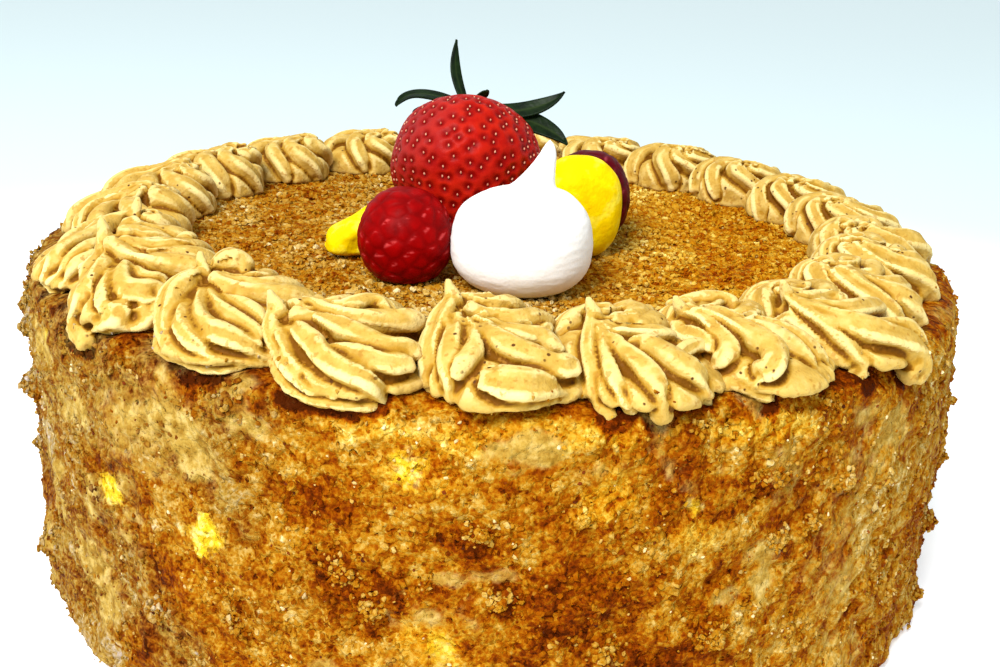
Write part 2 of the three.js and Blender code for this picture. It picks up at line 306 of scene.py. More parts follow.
def smooth_curve(knots: Outline, share: Array) -> Array:
    """Points on a smooth line through a few knots.

    Args:
        knots: Pairs of numbers from the line's start to its end.
        share: How far along the line each point lies, from 0 to 1, by length.

    Returns:
        One pair per share.
    """
    corners = np.array(knots, float)
    padded = np.vstack([2 * corners[0] - corners[1], corners, 2 * corners[-1] - corners[-2]])
    step = np.linspace(0.0, 1.0, 24, endpoint=False)[:, None]
    fine = []
    for index in range(len(corners) - 1):
        before, start, end, after = padded[index : index + 4]
        bend = 2 * before - 5 * start + 4 * end - after
        twist = 3 * start - before - 3 * end + after
        fine.append(0.5 * (2 * start + (end - before) * step + bend * step**2 + twist * step**3))
    line = np.vstack([*fine, corners[-1:]])
    length = np.concatenate([[0.0], np.cumsum(np.linalg.norm(np.diff(line, axis=0), axis=1))])
    along = share * length[-1]
    return np.column_stack([np.interp(along, length, line[:, axis]) for axis in (0, 1)])


def joined_copies(name: str, models: list[Array], faces: Array, turns: Array,
                  places: Array, picks: Array) -> Piece:
    """Many small copies of a few models as one mesh.

    Args:
        name: Name of the piece.
        models: Corner places of each model, all with the same faces.
        faces: Corner numbers of the models' triangles.
        turns: One 3 by 3 matrix per copy that turns and sizes it.
        places: Where each copy sits.
        picks: Which model each copy is of.

    Returns:
        The piece.
    """
    corners = np.einsum("nij,nkj->nki", turns, np.array(models)[picks]) + places[:, None, :]
    count, per_copy = corners.shape[:2]
    corner_numbers = faces[None] + (np.arange(count) * per_copy)[:, None, None]
    mesh = bpy.data.meshes.new(name)
    mesh.vertices.add(count * per_copy)
    mesh.vertices.foreach_set("co", corners.astype(np.float32).ravel())
    mesh.loops.add(corner_numbers.size)
    mesh.loops.foreach_set("vertex_index", corner_numbers.astype(np.int32).ravel())
    mesh.polygons.add(corner_numbers.size // 3)
    mesh.polygons.foreach_set("loop_start", np.arange(0, corner_numbers.size, 3, dtype=np.int32))
    mesh.update(calc_edges=True)
    piece = bpy.data.objects.new(name, mesh)
    bpy.context.scene.collection.objects.link(piece)
    return piece


def random_turns(draw: np.random.Generator, count: int) -> Array:
    """Random rotations.

    Args:
        draw: Where they come from.
        count: How many.

    Returns:
        One 3 by 3 matrix each.
    """
    four = draw.normal(size=(count, 4))
    w, x, y, z = unit(four).T
    rows = [
        [1 - 2 * (y * y + z * z), 2 * (x * y - z * w), 2 * (x * z + y * w)],
        [2 * (x * y + z * w), 1 - 2 * (x * x + z * z), 2 * (y * z - x * w)],
        [2 * (x * z - y * w), 2 * (y * z + x * w), 1 - 2 * (x * x + y * y)],
    ]
    return np.array(rows).transpose(2, 0, 1)


@dataclass(frozen=True)
class Rope:
    """A rope of cream in mm: half its width, and its crest as places outward, along the ring and up."""

    half: float
    line: tuple[Place, ...]


SHOWN_ROPES: dict[int, tuple[Rope, ...]] = {
    1: (
        Rope(2.4, ((-5.5, -8, 10.5), (1.5, -9.5, 9), (6, -2.5, 8), (11, 1, 6.5), (14.5, 5, 4.5),
                   (15, 4, 1))),
        Rope(2.2, ((6, 7.5, 6.5), (10.5, 10, 4.5), (12, 9, 1.5))),
        Rope(2.4, ((15.5, 3, 1), (14, 5, -1.5), (12, 8.5, -2))),
        Rope(2.0, ((4, 3.5, 8), (8.5, 6, 6.5), (12.5, 8, 4), (13.5, 4.5, 0))),
        Rope(2.4, ((-4.5, -8.5, 10), (3, -11, 7.5), (8, -8.5, 6), (12, -4.5, 4.5), (14, -1, 2))),
        Rope(2.3, ((-5, -9, 9.5), (0, -12, 6), (5.5, -11.5, 4), (10, -9, 2.5), (13, -5.5, 0.5))),
        Rope(2.2, ((-5.5, -8.5, 9.5), (-5, -11.5, 6), (-1, -13, 3), (4, -13, 1.5))),
    ),
    2: (
        Rope(3.2, ((4.5, -15.5, 12), (6, -13.5, 7.5), (12, -5.5, 6.5), (16.5, -1, 4), (16.5, -4.5, -2),
                   (17.5, 1, -4))),
        Rope(3.0, ((0, -14, 13), (1.5, -12.5, 8), (9.5, 0, 7.5), (11.5, 5.5, 6), (9.5, 8.5, 5.5),
                   (6, 10, 6))),
        Rope(3.3, ((15.5, 1, -1.5), (14.5, 8.5, 2.5), (12, 8.5, 1), (10, 10, 1), (7.5, 12, 3.5))),
        Rope(2.2, ((-2, -13, 12), (2, -7, 9), (7, 2, 7.5), (6.5, 6.5, 7), (3.5, 7.5, 7))),
        Rope(2.2, ((0.5, -5, 9.5), (-1, -1, 9.5), (-6, -1, 9.5), (-11, -7.5, 10.5))),
        Rope(2.0, ((2.5, 2, 8.5), (-1, 3.5, 8.5), (-5.5, 4.5, 8))),
        Rope(2.4, ((3, -15, 12), (4, -13, 7.5), (11.5, -0.5, 7), (15, 5, 4.5))),
    ),
    3: (
        Rope(2.6, ((-1, -12, 11), (3, -13.5, 9.5), (7, -13.5, 7.5), (12, -9.5, 4.5), (15, -6, 3))),
        Rope(2.2, ((-1.5, -11.5, 10.5), (2.5, -12.5, 8.5), (7, -10.5, 6), (13.5, -4.5, 5.5), (16, 1, 4),
                   (15.5, 4, 3))),
        Rope(2.4, ((-1.5, -11.5, 10), (1.5, -11.5, 7.5), (10, -4.5, 6.5), (13.5, 1, 5.5), (13.5, 7, 5),
                   (9.5, 11, 2.5))),
        Rope(2.2, ((-1.5, -11, 9.5), (5, -6, 7.5), (8, -0.5, 7), (8.5, 5.5, 6), (8.5, 10, 4.5))),
        Rope(2.0, ((-1.5, -11, 9), (3.5, -5, 8), (4.5, -1, 7.5), (4, 3, 7.5), (4.5, 7.5, 6.5))),
        Rope(2.0, ((-2, -10.5, 9), (-2, -4.5, 9), (-5.5, -2, 9), (-3, 1, 8.5))),
        Rope(2.6, ((-3, -11, 11.5), (-6.5, -10.5, 13), (-8.5, -9, 12), (-7.5, -6.5, 10))),
        Rope(2.6, ((15, -5.5, 0.5), (15, 0, 0), (14, 4.5, -0.5), (12, 8.5, 0))),
    ),
    4: (
        Rope(2.0, ((2.5, -16.5, 9), (5.5, -16.5, 6), (7.5, -14, 3.5), (15.5, -8, 3), (15.5, -4, 0.5),
                   (16, 0.5, 0.5))),
        Rope(2.3, ((1.5, -14, 7), (10.5, -8, 7), (15, -2.5, 5.5), (17, 2.5, 4.5), (16, 7, 3),
                   (12.5, 8, -1))),
        Rope(2.5, ((-1.5, -13, 8.5), (5, -6.5, 8.5), (8, -0.5, 8), (9, 4, 7), (9.5, 8, 6),
                   (6.5, 11.5, 5.5))),
        Rope(2.4, ((-2.5, -12.5, 9.5), (-0.5, -9, 9.5), (2, -4, 9.5), (1, 1, 9), (-2, 5, 8),
                   (-5, 8.5, 7.5))),
        Rope(2.0, ((-0.5, -7, 10), (-2, -4, 10), (-6.5, -2, 10), (-7.5, 1, 9), (-3, 4.5, 8.5))),
        Rope(1.8, ((8.5, -14, 1.5), (14, -9.5, 0), (16, -3.5, -1), (16.5, 2, -1), (14, 6.5, -1.5))),
        Rope(2.4, ((12.5, -1.5, 6.5), (14, 4, 6), (12.5, 8.5, 4.5), (10, 11.5, 4.5))),
    ),
    5: (
        Rope(2.8, ((-7.5, -9.5, 11.5), (-3.5, -12, 9), (4, -13, 6), (7, -13, 3), (7.5, -12, -0.5))),
        Rope(2.8, ((-2, -9, 10), (5.5, -9.5, 8), (10.5, -9.5, 5.5), (13.5, -8.5, 4), (12.5, -8.5, 0.5))),
        Rope(2.2, ((0, -7, 10), (4.5, -5.5, 9), (8.5, -5, 8), (12, -6, 6.5), (14, -7.5, 5.5))),
        Rope(2.6, ((0, -6, 10), (2.5, -5, 9.5), (7, -2, 8.5), (9.5, 1.5, 7.5), (10.5, 5.5, 6.5),
                   (11, 9, 5), (9.5, 12, 5))),
        Rope(3.2, ((15.5, -4, 4.5), (16.5, -0.5, 3.5), (17, 4, 3.5), (12.5, 9, 2.5))),
        Rope(2.4, ((-1, -6, 10.5), (0.5, -4, 10), (2.5, -0.5, 9), (3.5, 4.5, 8), (1.5, 8.5, 7),
                   (3.5, 9.5, 6.5))),
        Rope(2.0, ((-1, -5, 10), (-4, -2, 10), (-4.5, 1.5, 9), (-2, 3.5, 8.5))),
        Rope(1.5, ((3, 6, 7.5), (-0.5, 7.5, 7.5), (-3.5, 8, 8))),
    ),
    6: (
        Rope(1.8, ((-5, -7, 10), (2, -10.5, 7.5), (8.5, -11.5, 4), (10.5, -10.5, 0), (13, -9.5, -2))),
        Rope(1.6, ((-3, -7, 9.5), (6, -8.5, 7), (13.5, -9, 4), (14, -5.5, -0.5))),
        Rope(2.2, ((-2.5, -7, 9.5), (6.5, -6.5, 7), (11.5, -4, 6), (16, -2, 4), (16.5, -0.5, -1.5))),
        Rope(2.8, ((5.5, -4, 7.5), (7, -1, 7), (9, 1, 6.5), (12.5, 3.5, 5.5), (14, 6.5, 3.5),
                   (11.5, 9, -1))),
        Rope(1.6, ((10.5, 3, 6), (5.5, 8, 6), (4, 11.5, 6))),
        Rope(2.6, ((-3, -6.5, 9.5), (0.5, -5.5, 8.5), (1.5, -3, 8.5), (2, 1.5, 8), (0.5, 6.5, 7))),
        Rope(1.5, ((-3.5, -5, 9.5), (-4.5, 0, 9), (-3, 2.5, 8.5), (-6, 5, 8), (-9, 6, 8))),
        Rope(1.8, ((-5, -6, 9.5), (-10, 0, 8.5), (-11, 6.5, 8))),
    ),
    7: (
        Rope(2.2, ((-6.5, -11, 9), (-2, -10, 9.5), (2.5, -10, 8), (7, -10.5, 6.5), (9, -12, 5),
                   (7.5, -13, 3.5))),
        Rope(2.5, ((-3.5, -10, 10), (-1, -7.5, 10), (5, -6.5, 8.5), (10, -5, 7.5), (13.5, -4, 6.5),
                   (15.5, -6, 4.5), (14, -8, 3))),
        Rope(2.4, ((-6.5, -12, 7.5), (-3, -13.5, 5.5), (1, -13, 6.5), (5, -13, 6))),
        Rope(1.8, ((-14, -8, 7.5), (-12.5, -3, 9), (-11, 1, 9), (-7, 3, 9))),
        Rope(1.8, ((7, -13, 1.5), (9, -13, -2.5))),
        Rope(2.4, ((10, -11.5, 1.5), (12, -8.5, 0), (14, -6.5, -0.5))),
        Rope(1.8, ((1.5, -5.5, 9.5), (3, -2.5, 9), (-1.5, 3, 8.5))),
        Rope(2.2, ((-2, -4, 9.5), (6, 0, 8), (11, 3, 6), (13.5, 5, 1.5))),
        Rope(2.0, ((0, 0, 9), (7, 5.5, 7), (11, 8.5, 3.5), (11.5, 9, 0))),
    ),
    8: (
        Rope(2.4, ((-4, -9.5, 10), (0.5, -11, 8.5), (5.5, -10.5, 7), (10.5, -10.5, 4.5),
                   (13.5, -7.5, 0.5), (13, -9, -2.5))),
        Rope(3.0, ((-2, -9.5, 9.5), (2, -10.5, 8), (7.5, -9, 7), (14, -6, 6), (16.5, 2, 3.5),
                   (18, 7, 0), (18, 5.5, -3.5))),
        Rope(2.5, ((-1.5, -10, 9), (1.5, -9.5, 8.5), (6, -6.5, 8), (7.5, 1, 7.5), (6, 10, 6))),
        Rope(1.8, ((7.5, -8, 7.5), (12.5, -4.5, 6.5), (14, 0.5, 6), (15, 5, 5.5), (16.5, 6.5, 3.5))),
        Rope(1.8, ((-3, -9.5, 10), (-1.5, -6, 10), (-0.5, 4, 8.5), (2.5, 2, 8.5))),
        Rope(1.6, ((-1.5, -11, 8.5), (3, -13, 5.5), (7, -13, 3), (10, -10.5, -1))),
        Rope(1.5, ((3.5, -13.5, 3), (6, -13, 1.5), (8.5, -12, -1), (10, -11, -2.5))),
        Rope(2.2, ((-3, -13.5, 4), (0.5, -13.5, 3.5), (5, -13.5, 3.5), (5, -13, 0.5))),
        Rope(1.8, ((-3.5, -13.5, 4), (-1, -12.5, 7), (2, -13, 6))),
    ),
}


# Finishes


class Recipe:
    """A material's nodes, written as steps that each return a socket."""

    def __init__(self, name: str) -> None:
        """Starts with an empty material whose patterns lie on Object coordinates.

        Args:
            name: Name of the material.
        """
        self.material = bpy.data.materials.new(name)
        self.material.use_nodes = True
        self.tree = self.material.node_tree
        self.shader = self.tree.nodes["Principled BSDF"]
        self.place = self.tree.nodes.new("ShaderNodeTexCoord").outputs["Object"]

    def feed(self, socket: Socket, value: object) -> None:
        """Links a socket, or sets it to a plain value.

        Args:
            socket: The socket.
            value: Another socket, or a plain value.
        """
        if isinstance(value, Socket):
            self.tree.links.new(value, socket)
        elif isinstance(value, tuple) and len(value) == 3 and socket.type == "RGBA":
            socket.default_value = (*value, 1.0)
        else:
            socket.default_value = value

    def set(self, **values: object) -> None:
        """Feeds the shader's sockets, with underscores for spaces. Sheen stays low unless it is given."""
        for name, value in {"Specular_IOR_Level": 0.08, **values}.items():
            self.feed(self.shader.inputs[name.replace("_", " ")], value)

    def add(self, kind: str, inputs: dict[str | int, object], **settings: object) -> bpy.types.ShaderNode:
        """Adds a node.

        Args:
            kind: What it is.
            inputs: What its sockets are fed.
            settings: Its other settings.

        Returns:
            The node.
        """
        node = self.tree.nodes.new(f"ShaderNode{kind}")
        for name, value in settings.items():
            setattr(node, name, value)
        for socket, value in inputs.items():
            self.feed(node.inputs[socket], value)
        return node

    def noise(self, size: float, detail: float = 2.0, roughness: float = 0.5,
              stretch: Place = (1.0, 1.0, 1.0)) -> Socket:
        """A cloudy pattern.

        Args:
            size: About how wide a cloud is.
            detail: How many finer layers it has.
            roughness: How strong they are.
            stretch: How much closer the clouds stand along each axis.

        Returns:
            The pattern, from 0 to 1.
        """
        scaled = self.add("VectorMath", {0: self.place, 1: stretch}, operation="MULTIPLY")
        layers = {"Scale": 1.0 / size, "Detail": detail, "Roughness": roughness}
        return self.add("TexNoise", {"Vector": scaled.outputs[0], **layers}).outputs["Fac"]

    def cells(self, size: float, ragged: float) -> tuple[Socket, Socket]:
        """A mosaic of grains.

        Args:
            size: The grains' spacing.
            ragged: How far their outlines wander, in spacings.

        Returns:
            The distance to the middle of the grain, in spacings, and a number from 0 to 1 of the grain's own.
        """
        wander = self.add("TexNoise", {"Vector": self.place, "Scale": 1.0 / size}).outputs["Color"]
        reach = (ragged * size,) * 3
        shifted = self.add("VectorMath", {0: wander, 1: reach, 2: self.place}, operation="MULTIPLY_ADD")
        grains = self.add("TexVoronoi", {"Vector": shifted.outputs[0], "Scale": 1.0 / size})
        own = self.add("SeparateColor", {0: grains.outputs["Color"]})
        return grains.outputs["Distance"], own.outputs[0]

    def painted(self, name: str) -> Socket:
        """A number painted on the piece's vertices."""
        return self.add("Attribute", {}, attribute_name=name).outputs["Fac"]

    def ramp(self, share: Socket, stops: Stops) -> Socket:
        """Colours along a line.

        Args:
            share: Where to look, from 0 to 1.
            stops: The colours.

        Returns:
            The colour there.
        """
        node = self.add("ValToRGB", {"Fac": share})
        band = node.color_ramp
        while len(band.elements) < len(stops):
            band.elements.new(1.0)
        for element, (position, colour) in zip(band.elements, stops):
            element.position = position
            element.color = (*colour, 1.0)
        return node.outputs["Color"]

    def step(self, value: Socket, low: float, high: float) -> Socket:
        """0 at low, 1 at high and a smooth rise between them.

        Args:
            value: A number.
            low: Where the rise starts. It may be the larger one.
            high: Where it ends.

        Returns:
            A number from 0 to 1.
        """
        inputs = {"Value": value, "From Min": min(low, high), "From Max": max(low, high)}
        inputs |= {"To Min": float(low > high), "To Max": float(low <= high)}
        return self.add("MapRange", inputs, interpolation_type="SMOOTHSTEP").outputs["Result"]

    def sum(self, first: object, second: object, operation: str = "ADD") -> Socket:
        """Two numbers added, or joined by another operation."""
        return self.add("Math", {0: first, 1: second}, operation=operation).outputs[0]

    def scaled(self, value: object, factor: object) -> Socket:
        """Two numbers multiplied."""
        return self.sum(value, factor, "MULTIPLY")

    def swing(self, pattern: Socket, factor: float) -> Socket:
        """A pattern from 0 to 1 turned into a swing about 0."""
        return self.scaled(self.sum(pattern, 0.5, "SUBTRACT"), factor)

    def mix(self, share: object, first: object, second: object, way: str = "MIX") -> Socket:
        """Two colours mixed by a share."""
        node = self.add("Mix", {0: share, 6: first, 7: second}, data_type="RGBA", blend_type=way)
        return node.outputs[2]

    def bump(self, height: Socket, depth: float, strength: float, under: Socket | None = None) -> Socket:
        """Fine relief.

        Args:
            height: The pattern.
            depth: Its depth in metres.
            strength: How much of it shows.
            under: Relief that it lies on.

        Returns:
            The relief.
        """
        below = {} if under is None else {"Normal": under}
        inputs = {"Strength": strength, "Distance": depth, "Height": height, **below}
        return self.add("Bump", inputs).outputs["Normal"]


@dataclass(frozen=True)
class CoatFinish:
    """Crumb paste over thin cream: toasted crumbs, pale smears, painted shade in small pits and a few yellow
    spots.
    """

    tones: Stops = CRUMB_TONES
    yellow: Stops = ((0.35, (0.56, 0.32, 0.006)), (0.5, (0.72, 0.48, 0.02)), (0.66, (0.86, 0.72, 0.22)))
    smear: Stops = ((0.36, (0.25, 0.13, 0.014)), (0.5, (0.40, 0.25, 0.045)), (0.66, (0.56, 0.40, 0.125)))
    khaki: Colour = (0.74, 0.90, 2.4)
    # Multiplies the golden wall patches, and the painted light on the right of the open disc.
    gold_and_light: Colour = (1.18, 1.14, 0.6)

    def material(self) -> Material:
        """Builds the finish.

        Returns:
            The material.
        """
        recipe = Recipe("crumb_coat")
        grain = recipe.noise(3.2 * MM, 4.0, 0.62)
        speckle = recipe.noise(0.75 * MM, 3.0, 0.55)
        apart, own = recipe.cells(1.5 * MM, 0.8)
        rough = recipe.painted("rough")
        mottle = recipe.sum(recipe.swing(grain, 0.95), recipe.swing(speckle, 0.85))
        mottle = recipe.scaled(recipe.sum(mottle, recipe.swing(own, 0.22)), rough)
        # Small pits: sunk a little in the relief, and darkened in the colour as painted shade.
        pits = recipe.step(recipe.noise(1.8 * MM, 2.0), 0.40, 0.29)
        tone = recipe.sum(recipe.painted("tone"), mottle)
        tone = recipe.sum(tone, recipe.scaled(recipe.scaled(pits, rough), 0.22), "SUBTRACT")
        colour = recipe.ramp(tone, self.tones)
        hue = recipe.sum(recipe.painted("hue"), recipe.scaled(mottle, 0.5))
        dull = recipe.step(hue, -0.1, -0.9)
        colour = recipe.mix(dull, colour, self.khaki, "MULTIPLY")
        # Golden patches on the wall, and painted light on the right of the open disc.
        colour = recipe.mix(recipe.step(hue, 0.1, 0.9), colour, self.gold_and_light, "MULTIPLY")
        creamy = recipe.sum(recipe.painted("smear"), recipe.scaled(mottle, 0.8))
        creamy = recipe.sum(creamy, recipe.scaled(dull, 0.46))
        film = recipe.ramp(recipe.noise(2.4 * MM, 4.0, 0.6), self.smear)
        colour = recipe.mix(recipe.scaled(recipe.step(creamy, 0.25, 0.95), 0.85), colour, film)
        spot = recipe.sum(recipe.painted("yellow"), recipe.scaled(mottle, 0.6))
        sponge = recipe.ramp(recipe.noise(1.8 * MM, 3.0, 0.6), self.yellow)
        colour = recipe.mix(recipe.scaled(recipe.step(spot, 0.2, 0.95), 0.9), colour, sponge)
        relief = recipe.bump(recipe.sum(grain, recipe.scaled(pits, 0.3), "SUBTRACT"), 1.6 * MM, 0.7)
        domes = recipe.scaled(recipe.sum(1.0, recipe.scaled(apart, apart), "SUBTRACT"), rough)
        relief = recipe.bump(recipe.sum(domes, recipe.scaled(speckle, 0.3)), 0.9 * MM, 0.8, relief)
        recipe.set(Base_Color=colour, Roughness=0.6, Normal=relief, Specular_IOR_Level=0.012)
        return recipe.material


@dataclass(frozen=True)
class CrumbFinish:
    """Loose crumbs, each with its own shade from burnt to pale."""

    name: str
    shades: Stops = CRUMB_TONES
    roughness: float = 0.62

    def material(self) -> Material:
        """Builds the finish.

        Returns:
            The material.
        """
        recipe = Recipe(self.name)
        colour = recipe.ramp(recipe.painted("tone"), self.shades)
        grain = recipe.noise(0.45 * MM, 2.0)
        spots = recipe.ramp(grain, ((0.3, (0.6, 0.5, 0.4)), (0.6, (1.0, 1.0, 1.0))))
        colour = recipe.mix(0.6, colour, spots, "MULTIPLY")
        recipe.set(Base_Color=colour, Roughness=self.roughness, Normal=recipe.bump(grain, 0.15 * MM, 0.6))
        return recipe.material


@dataclass(frozen=True)
class CreamFinish:
    """Piped tan cream: satin and flecked with spice, with painted highlights on its crests and painted shade
    in its grooves.
    """

    body: Stops = ((0.3, (0.40, 0.22, 0.030)), (0.5, (0.50, 0.305, 0.056)), (0.72, (0.60, 0.41, 0.115)))
    # Painted highlight on the crests, and painted shade in the grooves, darkest in the seams.
    crest: Colour = (0.82, 0.66, 0.28)
    groove_shading: Colour = (0.37, 0.182, 0.011)
    seam: Colour = (0.13, 0.040, 0.0008)
    fleck: Colour = (0.09, 0.03, 0.005)
    tan_fleck: Colour = (0.36, 0.16, 0.018)

    def material(self) -> Material:
        """Builds the finish.

        Returns:
            The material.
        """
        recipe = Recipe("piped_cream")
        cloud = recipe.noise(3.5 * MM, 4.0, 0.6)
        colour = recipe.ramp(cloud, self.body)
        groove_shading = recipe.sum(recipe.painted("groove_shading"), recipe.swing(cloud, 0.3))
        tan = recipe.step(recipe.noise(1.2 * MM, 2.0), 0.60, 0.70)
        # Painted shade in the grooves and seams, painted highlight on the crests.
        for shown, share, tint in (
            (recipe.step(groove_shading, 0.34, 0.68), 0.9, self.groove_shading),
            (recipe.step(groove_shading, 0.62, 1.08), 0.92, self.seam),
            (recipe.step(groove_shading, 0.14, -0.18), 0.85, self.crest),
            (tan, 0.6, self.tan_fleck),
        ):
            colour = recipe.mix(recipe.scaled(shown, share), colour, tint)
        rare = recipe.step(recipe.noise(6.0 * MM, 1.0), 0.46, 0.6)
        dots = recipe.scaled(recipe.step(recipe.cells(2.4 * MM, 0.3)[0], 0.17, 0.09), rare)
        colour = recipe.mix(dots, colour, self.fleck)
        relief = recipe.bump(recipe.noise(1.6 * MM, 3.0), 0.4 * MM, 0.6)
        relief = recipe.bump(recipe.noise(0.6 * MM, 2.0), 0.2 * MM, 0.7, relief)
        recipe.set(Base_Color=colour, Roughness=0.55, Normal=relief, Specular_IOR_Level=0.06)
        return recipe.material


@dataclass(frozen=True)
class StrawberryFinish:
    """Ripe strawberry: bright red between the seeds, with painted shade in their dimples and a painted pale
    sheen on one shoulder.
    """

    flesh: Stops = ((0.3, (0.27, 0.0015, 0.0008)), (0.7, (0.43, 0.012, 0.003)))
    dimple: Colour = (0.17, 0.0006, 0.0006)
    painted_sheen: Colour = (0.22, 0.026, 0.026)

    def material(self) -> Material:
        """Builds the finish.

        Returns:
            The material.
        """
        recipe = Recipe("strawberry_flesh")
        colour = recipe.ramp(recipe.noise(3.6 * MM, 4.0), self.flesh)
        # Painted pale sheen on the upper left shoulder.
        colour = recipe.mix(recipe.painted("painted_sheen"), colour, self.painted_sheen)
        # Painted shade in the seed dimples.
        colour = recipe.mix(recipe.painted("dimple"), colour, self.dimple)
        relief = recipe.bump(recipe.noise(1.0 * MM, 3.0), 0.22 * MM, 0.6)
        recipe.set(Base_Color=colour, Roughness=0.42, Normal=relief, Specular_IOR_Level=0.045)
        return recipe.material


@dataclass(frozen=True)
class PlainFinish:
    """A finish of one cloudy colour with fine relief."""

    name: str
    shades: Stops
    cloud: float = 3.0 * MM
    grain: float = 0.8 * MM
    depth: float = 0.1 * MM
    roughness: float = 0.5
    sheen: float = 0.08

    def material(self) -> Material:
        """Builds the finish.

        Returns:
            The material.
        """
        recipe = Recipe(self.name)
        colour = recipe.ramp(recipe.noise(self.cloud, 3.0), self.shades)
        relief = recipe.bump(recipe.noise(self.grain, 3.0), self.depth, 0.6)
        recipe.set(Base_Color=colour, Roughness=self.roughness, Normal=relief, Specular_IOR_Level=self.sheen)
        return recipe.material


@dataclass(frozen=True)
class RaspberryFinish:
    """Raspberry: deep red drupelets with painted highlight crescents on their lamp-facing sides and painted
    shade in the seams.
    """

    name: str = "raspberry_flesh"
    flesh: Stops = ((0.3, (0.17, 0.0002, 0.0004)), (0.7, (0.28, 0.0005, 0.0007)))
    seam: Colour = (0.06, 0.0002, 0.0004)
    painted_highlight: Colour = (0.46, 0.04, 0.04)

    def material(self) -> Material:
        """Builds the finish.

        Returns:
            The material.
        """
        recipe = Recipe(self.name)
        colour = recipe.ramp(recipe.noise(3.0 * MM, 2.0), self.flesh)
        streaks = recipe.noise(1.8 * MM, 3.0, 0.5, (1.0, 1.0, 2.6))
        # Painted highlight crescents, broken up by streaks.
        highlit = recipe.scaled(recipe.step(streaks, 0.44, 0.62), recipe.painted("painted_highlight"))
        colour = recipe.mix(highlit, colour, self.painted_highlight)
        # Painted shade in the seams between the drupelets.
        colour = recipe.mix(recipe.scaled(recipe.painted("seam"), 0.3), colour, self.seam)
        relief = recipe.bump(recipe.noise(0.9 * MM, 2.0), 0.12 * MM, 0.5)
        recipe.set(Base_Color=colour, Roughness=0.45, Normal=relief, Specular_IOR_Level=0.03)
        return recipe.material


@dataclass(frozen=True)
class LeafFinish:
    """Dark green leaf with a paler vein."""

    blade: Stops = ((0.3, (0.001, 0.004, 0.001)), (0.7, (0.007, 0.018, 0.003)))
    vein: Colour = (0.016, 0.028, 0.006)

    def material(self) -> Material:
        """Builds the finish.

        Returns:
            The material.
        """
        recipe = Recipe("strawberry_leaf")
        colour = recipe.ramp(recipe.noise(1.8 * MM, 3.0), self.blade)
        colour = recipe.mix(recipe.painted("vein"), colour, self.vein)
        relief = recipe.bump(recipe.noise(0.9 * MM, 2.0), 0.2 * MM, 0.6)
        recipe.set(Base_Color=colour, Roughness=0.42, Normal=relief)
        return recipe.material


# Pieces


def complete(piece: Piece, material: Material,
             nodes: tuple[str, ...] = (), soft: bool = True) -> Piece:
    """Dresses a piece and ties it to the cake.

    Args:
        piece: The mesh, already in place.
        material: Its finish.
        nodes: The solids it stands for.
        soft: Whether its shading is smooth.

    Returns:
        The piece.
    """
    piece.data.materials.clear()
    piece.data.materials.append(material)
    piece.data.polygons.foreach_set("use_smooth", [soft] * len(piece.data.polygons))
    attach(piece, "root")
    if nodes:
        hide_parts(*nodes)
    LOG.info("%s: %d faces", piece.name, len(piece.data.polygons))
    return piece


@dataclass(frozen=True)
class Patch:
    """A patch on the wall: its middle in degrees and mm up, half its width and height in mm, its strength."""

    turn: float
    height: float
    wide: float
    tall: float
    strength: float = 1.0


SHOWN_SMEARS = (
    Patch(-86.4, 67.0, 6.5, 3.6), Patch(-80.0, 63.0, 4.0, 2.6, 0.7), Patch(-93.0, 42.6, 3.6, 2.0, 0.8),
    Patch(-89.6, 43.8, 4.5, 1.8, 0.7), Patch(-94.5, 35.0, 3.5, 3.0, 0.8), Patch(-62.0, 44.0, 5.0, 4.5),
    Patch(-61.0, 37.0, 4.0, 3.5), Patch(-49.6, 30.5, 4.0, 7.0, 0.8), Patch(-66.0, 36.6, 4.0, 1.6, 0.8),
    Patch(-45.5, 16.0, 4.0, 8.0, 0.7), Patch(-50.0, 64.5, 5.0, 4.0, 0.8),
    Patch(-44.0, 60.5, 5.0, 5.0, 0.8), Patch(-121.0, 62.0, 5.0, 4.0, 0.7),
    Patch(-119.5, 56.0, 4.0, 3.5, 0.7), Patch(-129.0, 60.0, 3.5, 4.0, 0.7),
    Patch(-136.0, 39.5, 3.5, 5.0, 0.7), Patch(-134.5, 16.0, 5.0, 6.0, 0.7),
    Patch(-139.5, 22.7, 4.0, 5.0, 0.8), Patch(-105.0, 21.0, 5.0, 2.4, 0.8),
    Patch(-146.0, 62.0, 4.0, 5.0, 0.8), Patch(-112.0, 66.0, 6.0, 2.5, 0.6),
    Patch(-52.0, 38.0, 12.0, 24.0, 0.45), Patch(-30.0, 40.0, 16.0, 30.0, 0.4),
    Patch(-126.0, 60.0, 15.0, 9.0, 0.4),
)
SHOWN_YELLOW = (
    Patch(-131.9, 43.4, 4.0, 3.6), Patch(-118.1, 42.0, 4.4, 4.2), Patch(-97.2, 62.6, 4.8, 3.6, 0.75),
    Patch(-94.0, 28.1, 5.5, 3.4, 0.6), Patch(-70.0, 54.9, 2.6, 2.2, 0.6),
    Patch(-146.5, 66.0, 1.8, 2.6, 0.6),
)
SHOWN_GOLD = (
    Patch(-84.7, 69.4, 22.0, 3.4), Patch(-63.0, 67.8, 11.0, 3.0), Patch(-101.0, 68.5, 9.0, 2.6, 0.8),
    Patch(-94.0, 27.0, 9.0, 5.0, 0.8), Patch(-97.2, 62.0, 8.0, 5.0, 0.6),
    Patch(-79.0, 58.0, 6.0, 5.0, 0.8), Patch(-70.0, 50.0, 6.0, 4.0, 0.6),
)
SHOWN_RUST = (
    Patch(-80.0, 38.6, 13.0, 8.0), Patch(-101.5, 38.4, 9.0, 7.0), Patch(-92.4, 51.0, 7.0, 3.0),
    Patch(-63.0, 58.0, 6.0, 4.0), Patch(-106.0, 52.0, 10.0, 4.0, 0.6), Patch(-72.0, 62.0, 6.0, 4.0, 0.6),
    Patch(-125.0, 34.0, 6.0, 5.0, 0.6), Patch(-75.0, 24.0, 10.0, 5.0, 0.7),
)


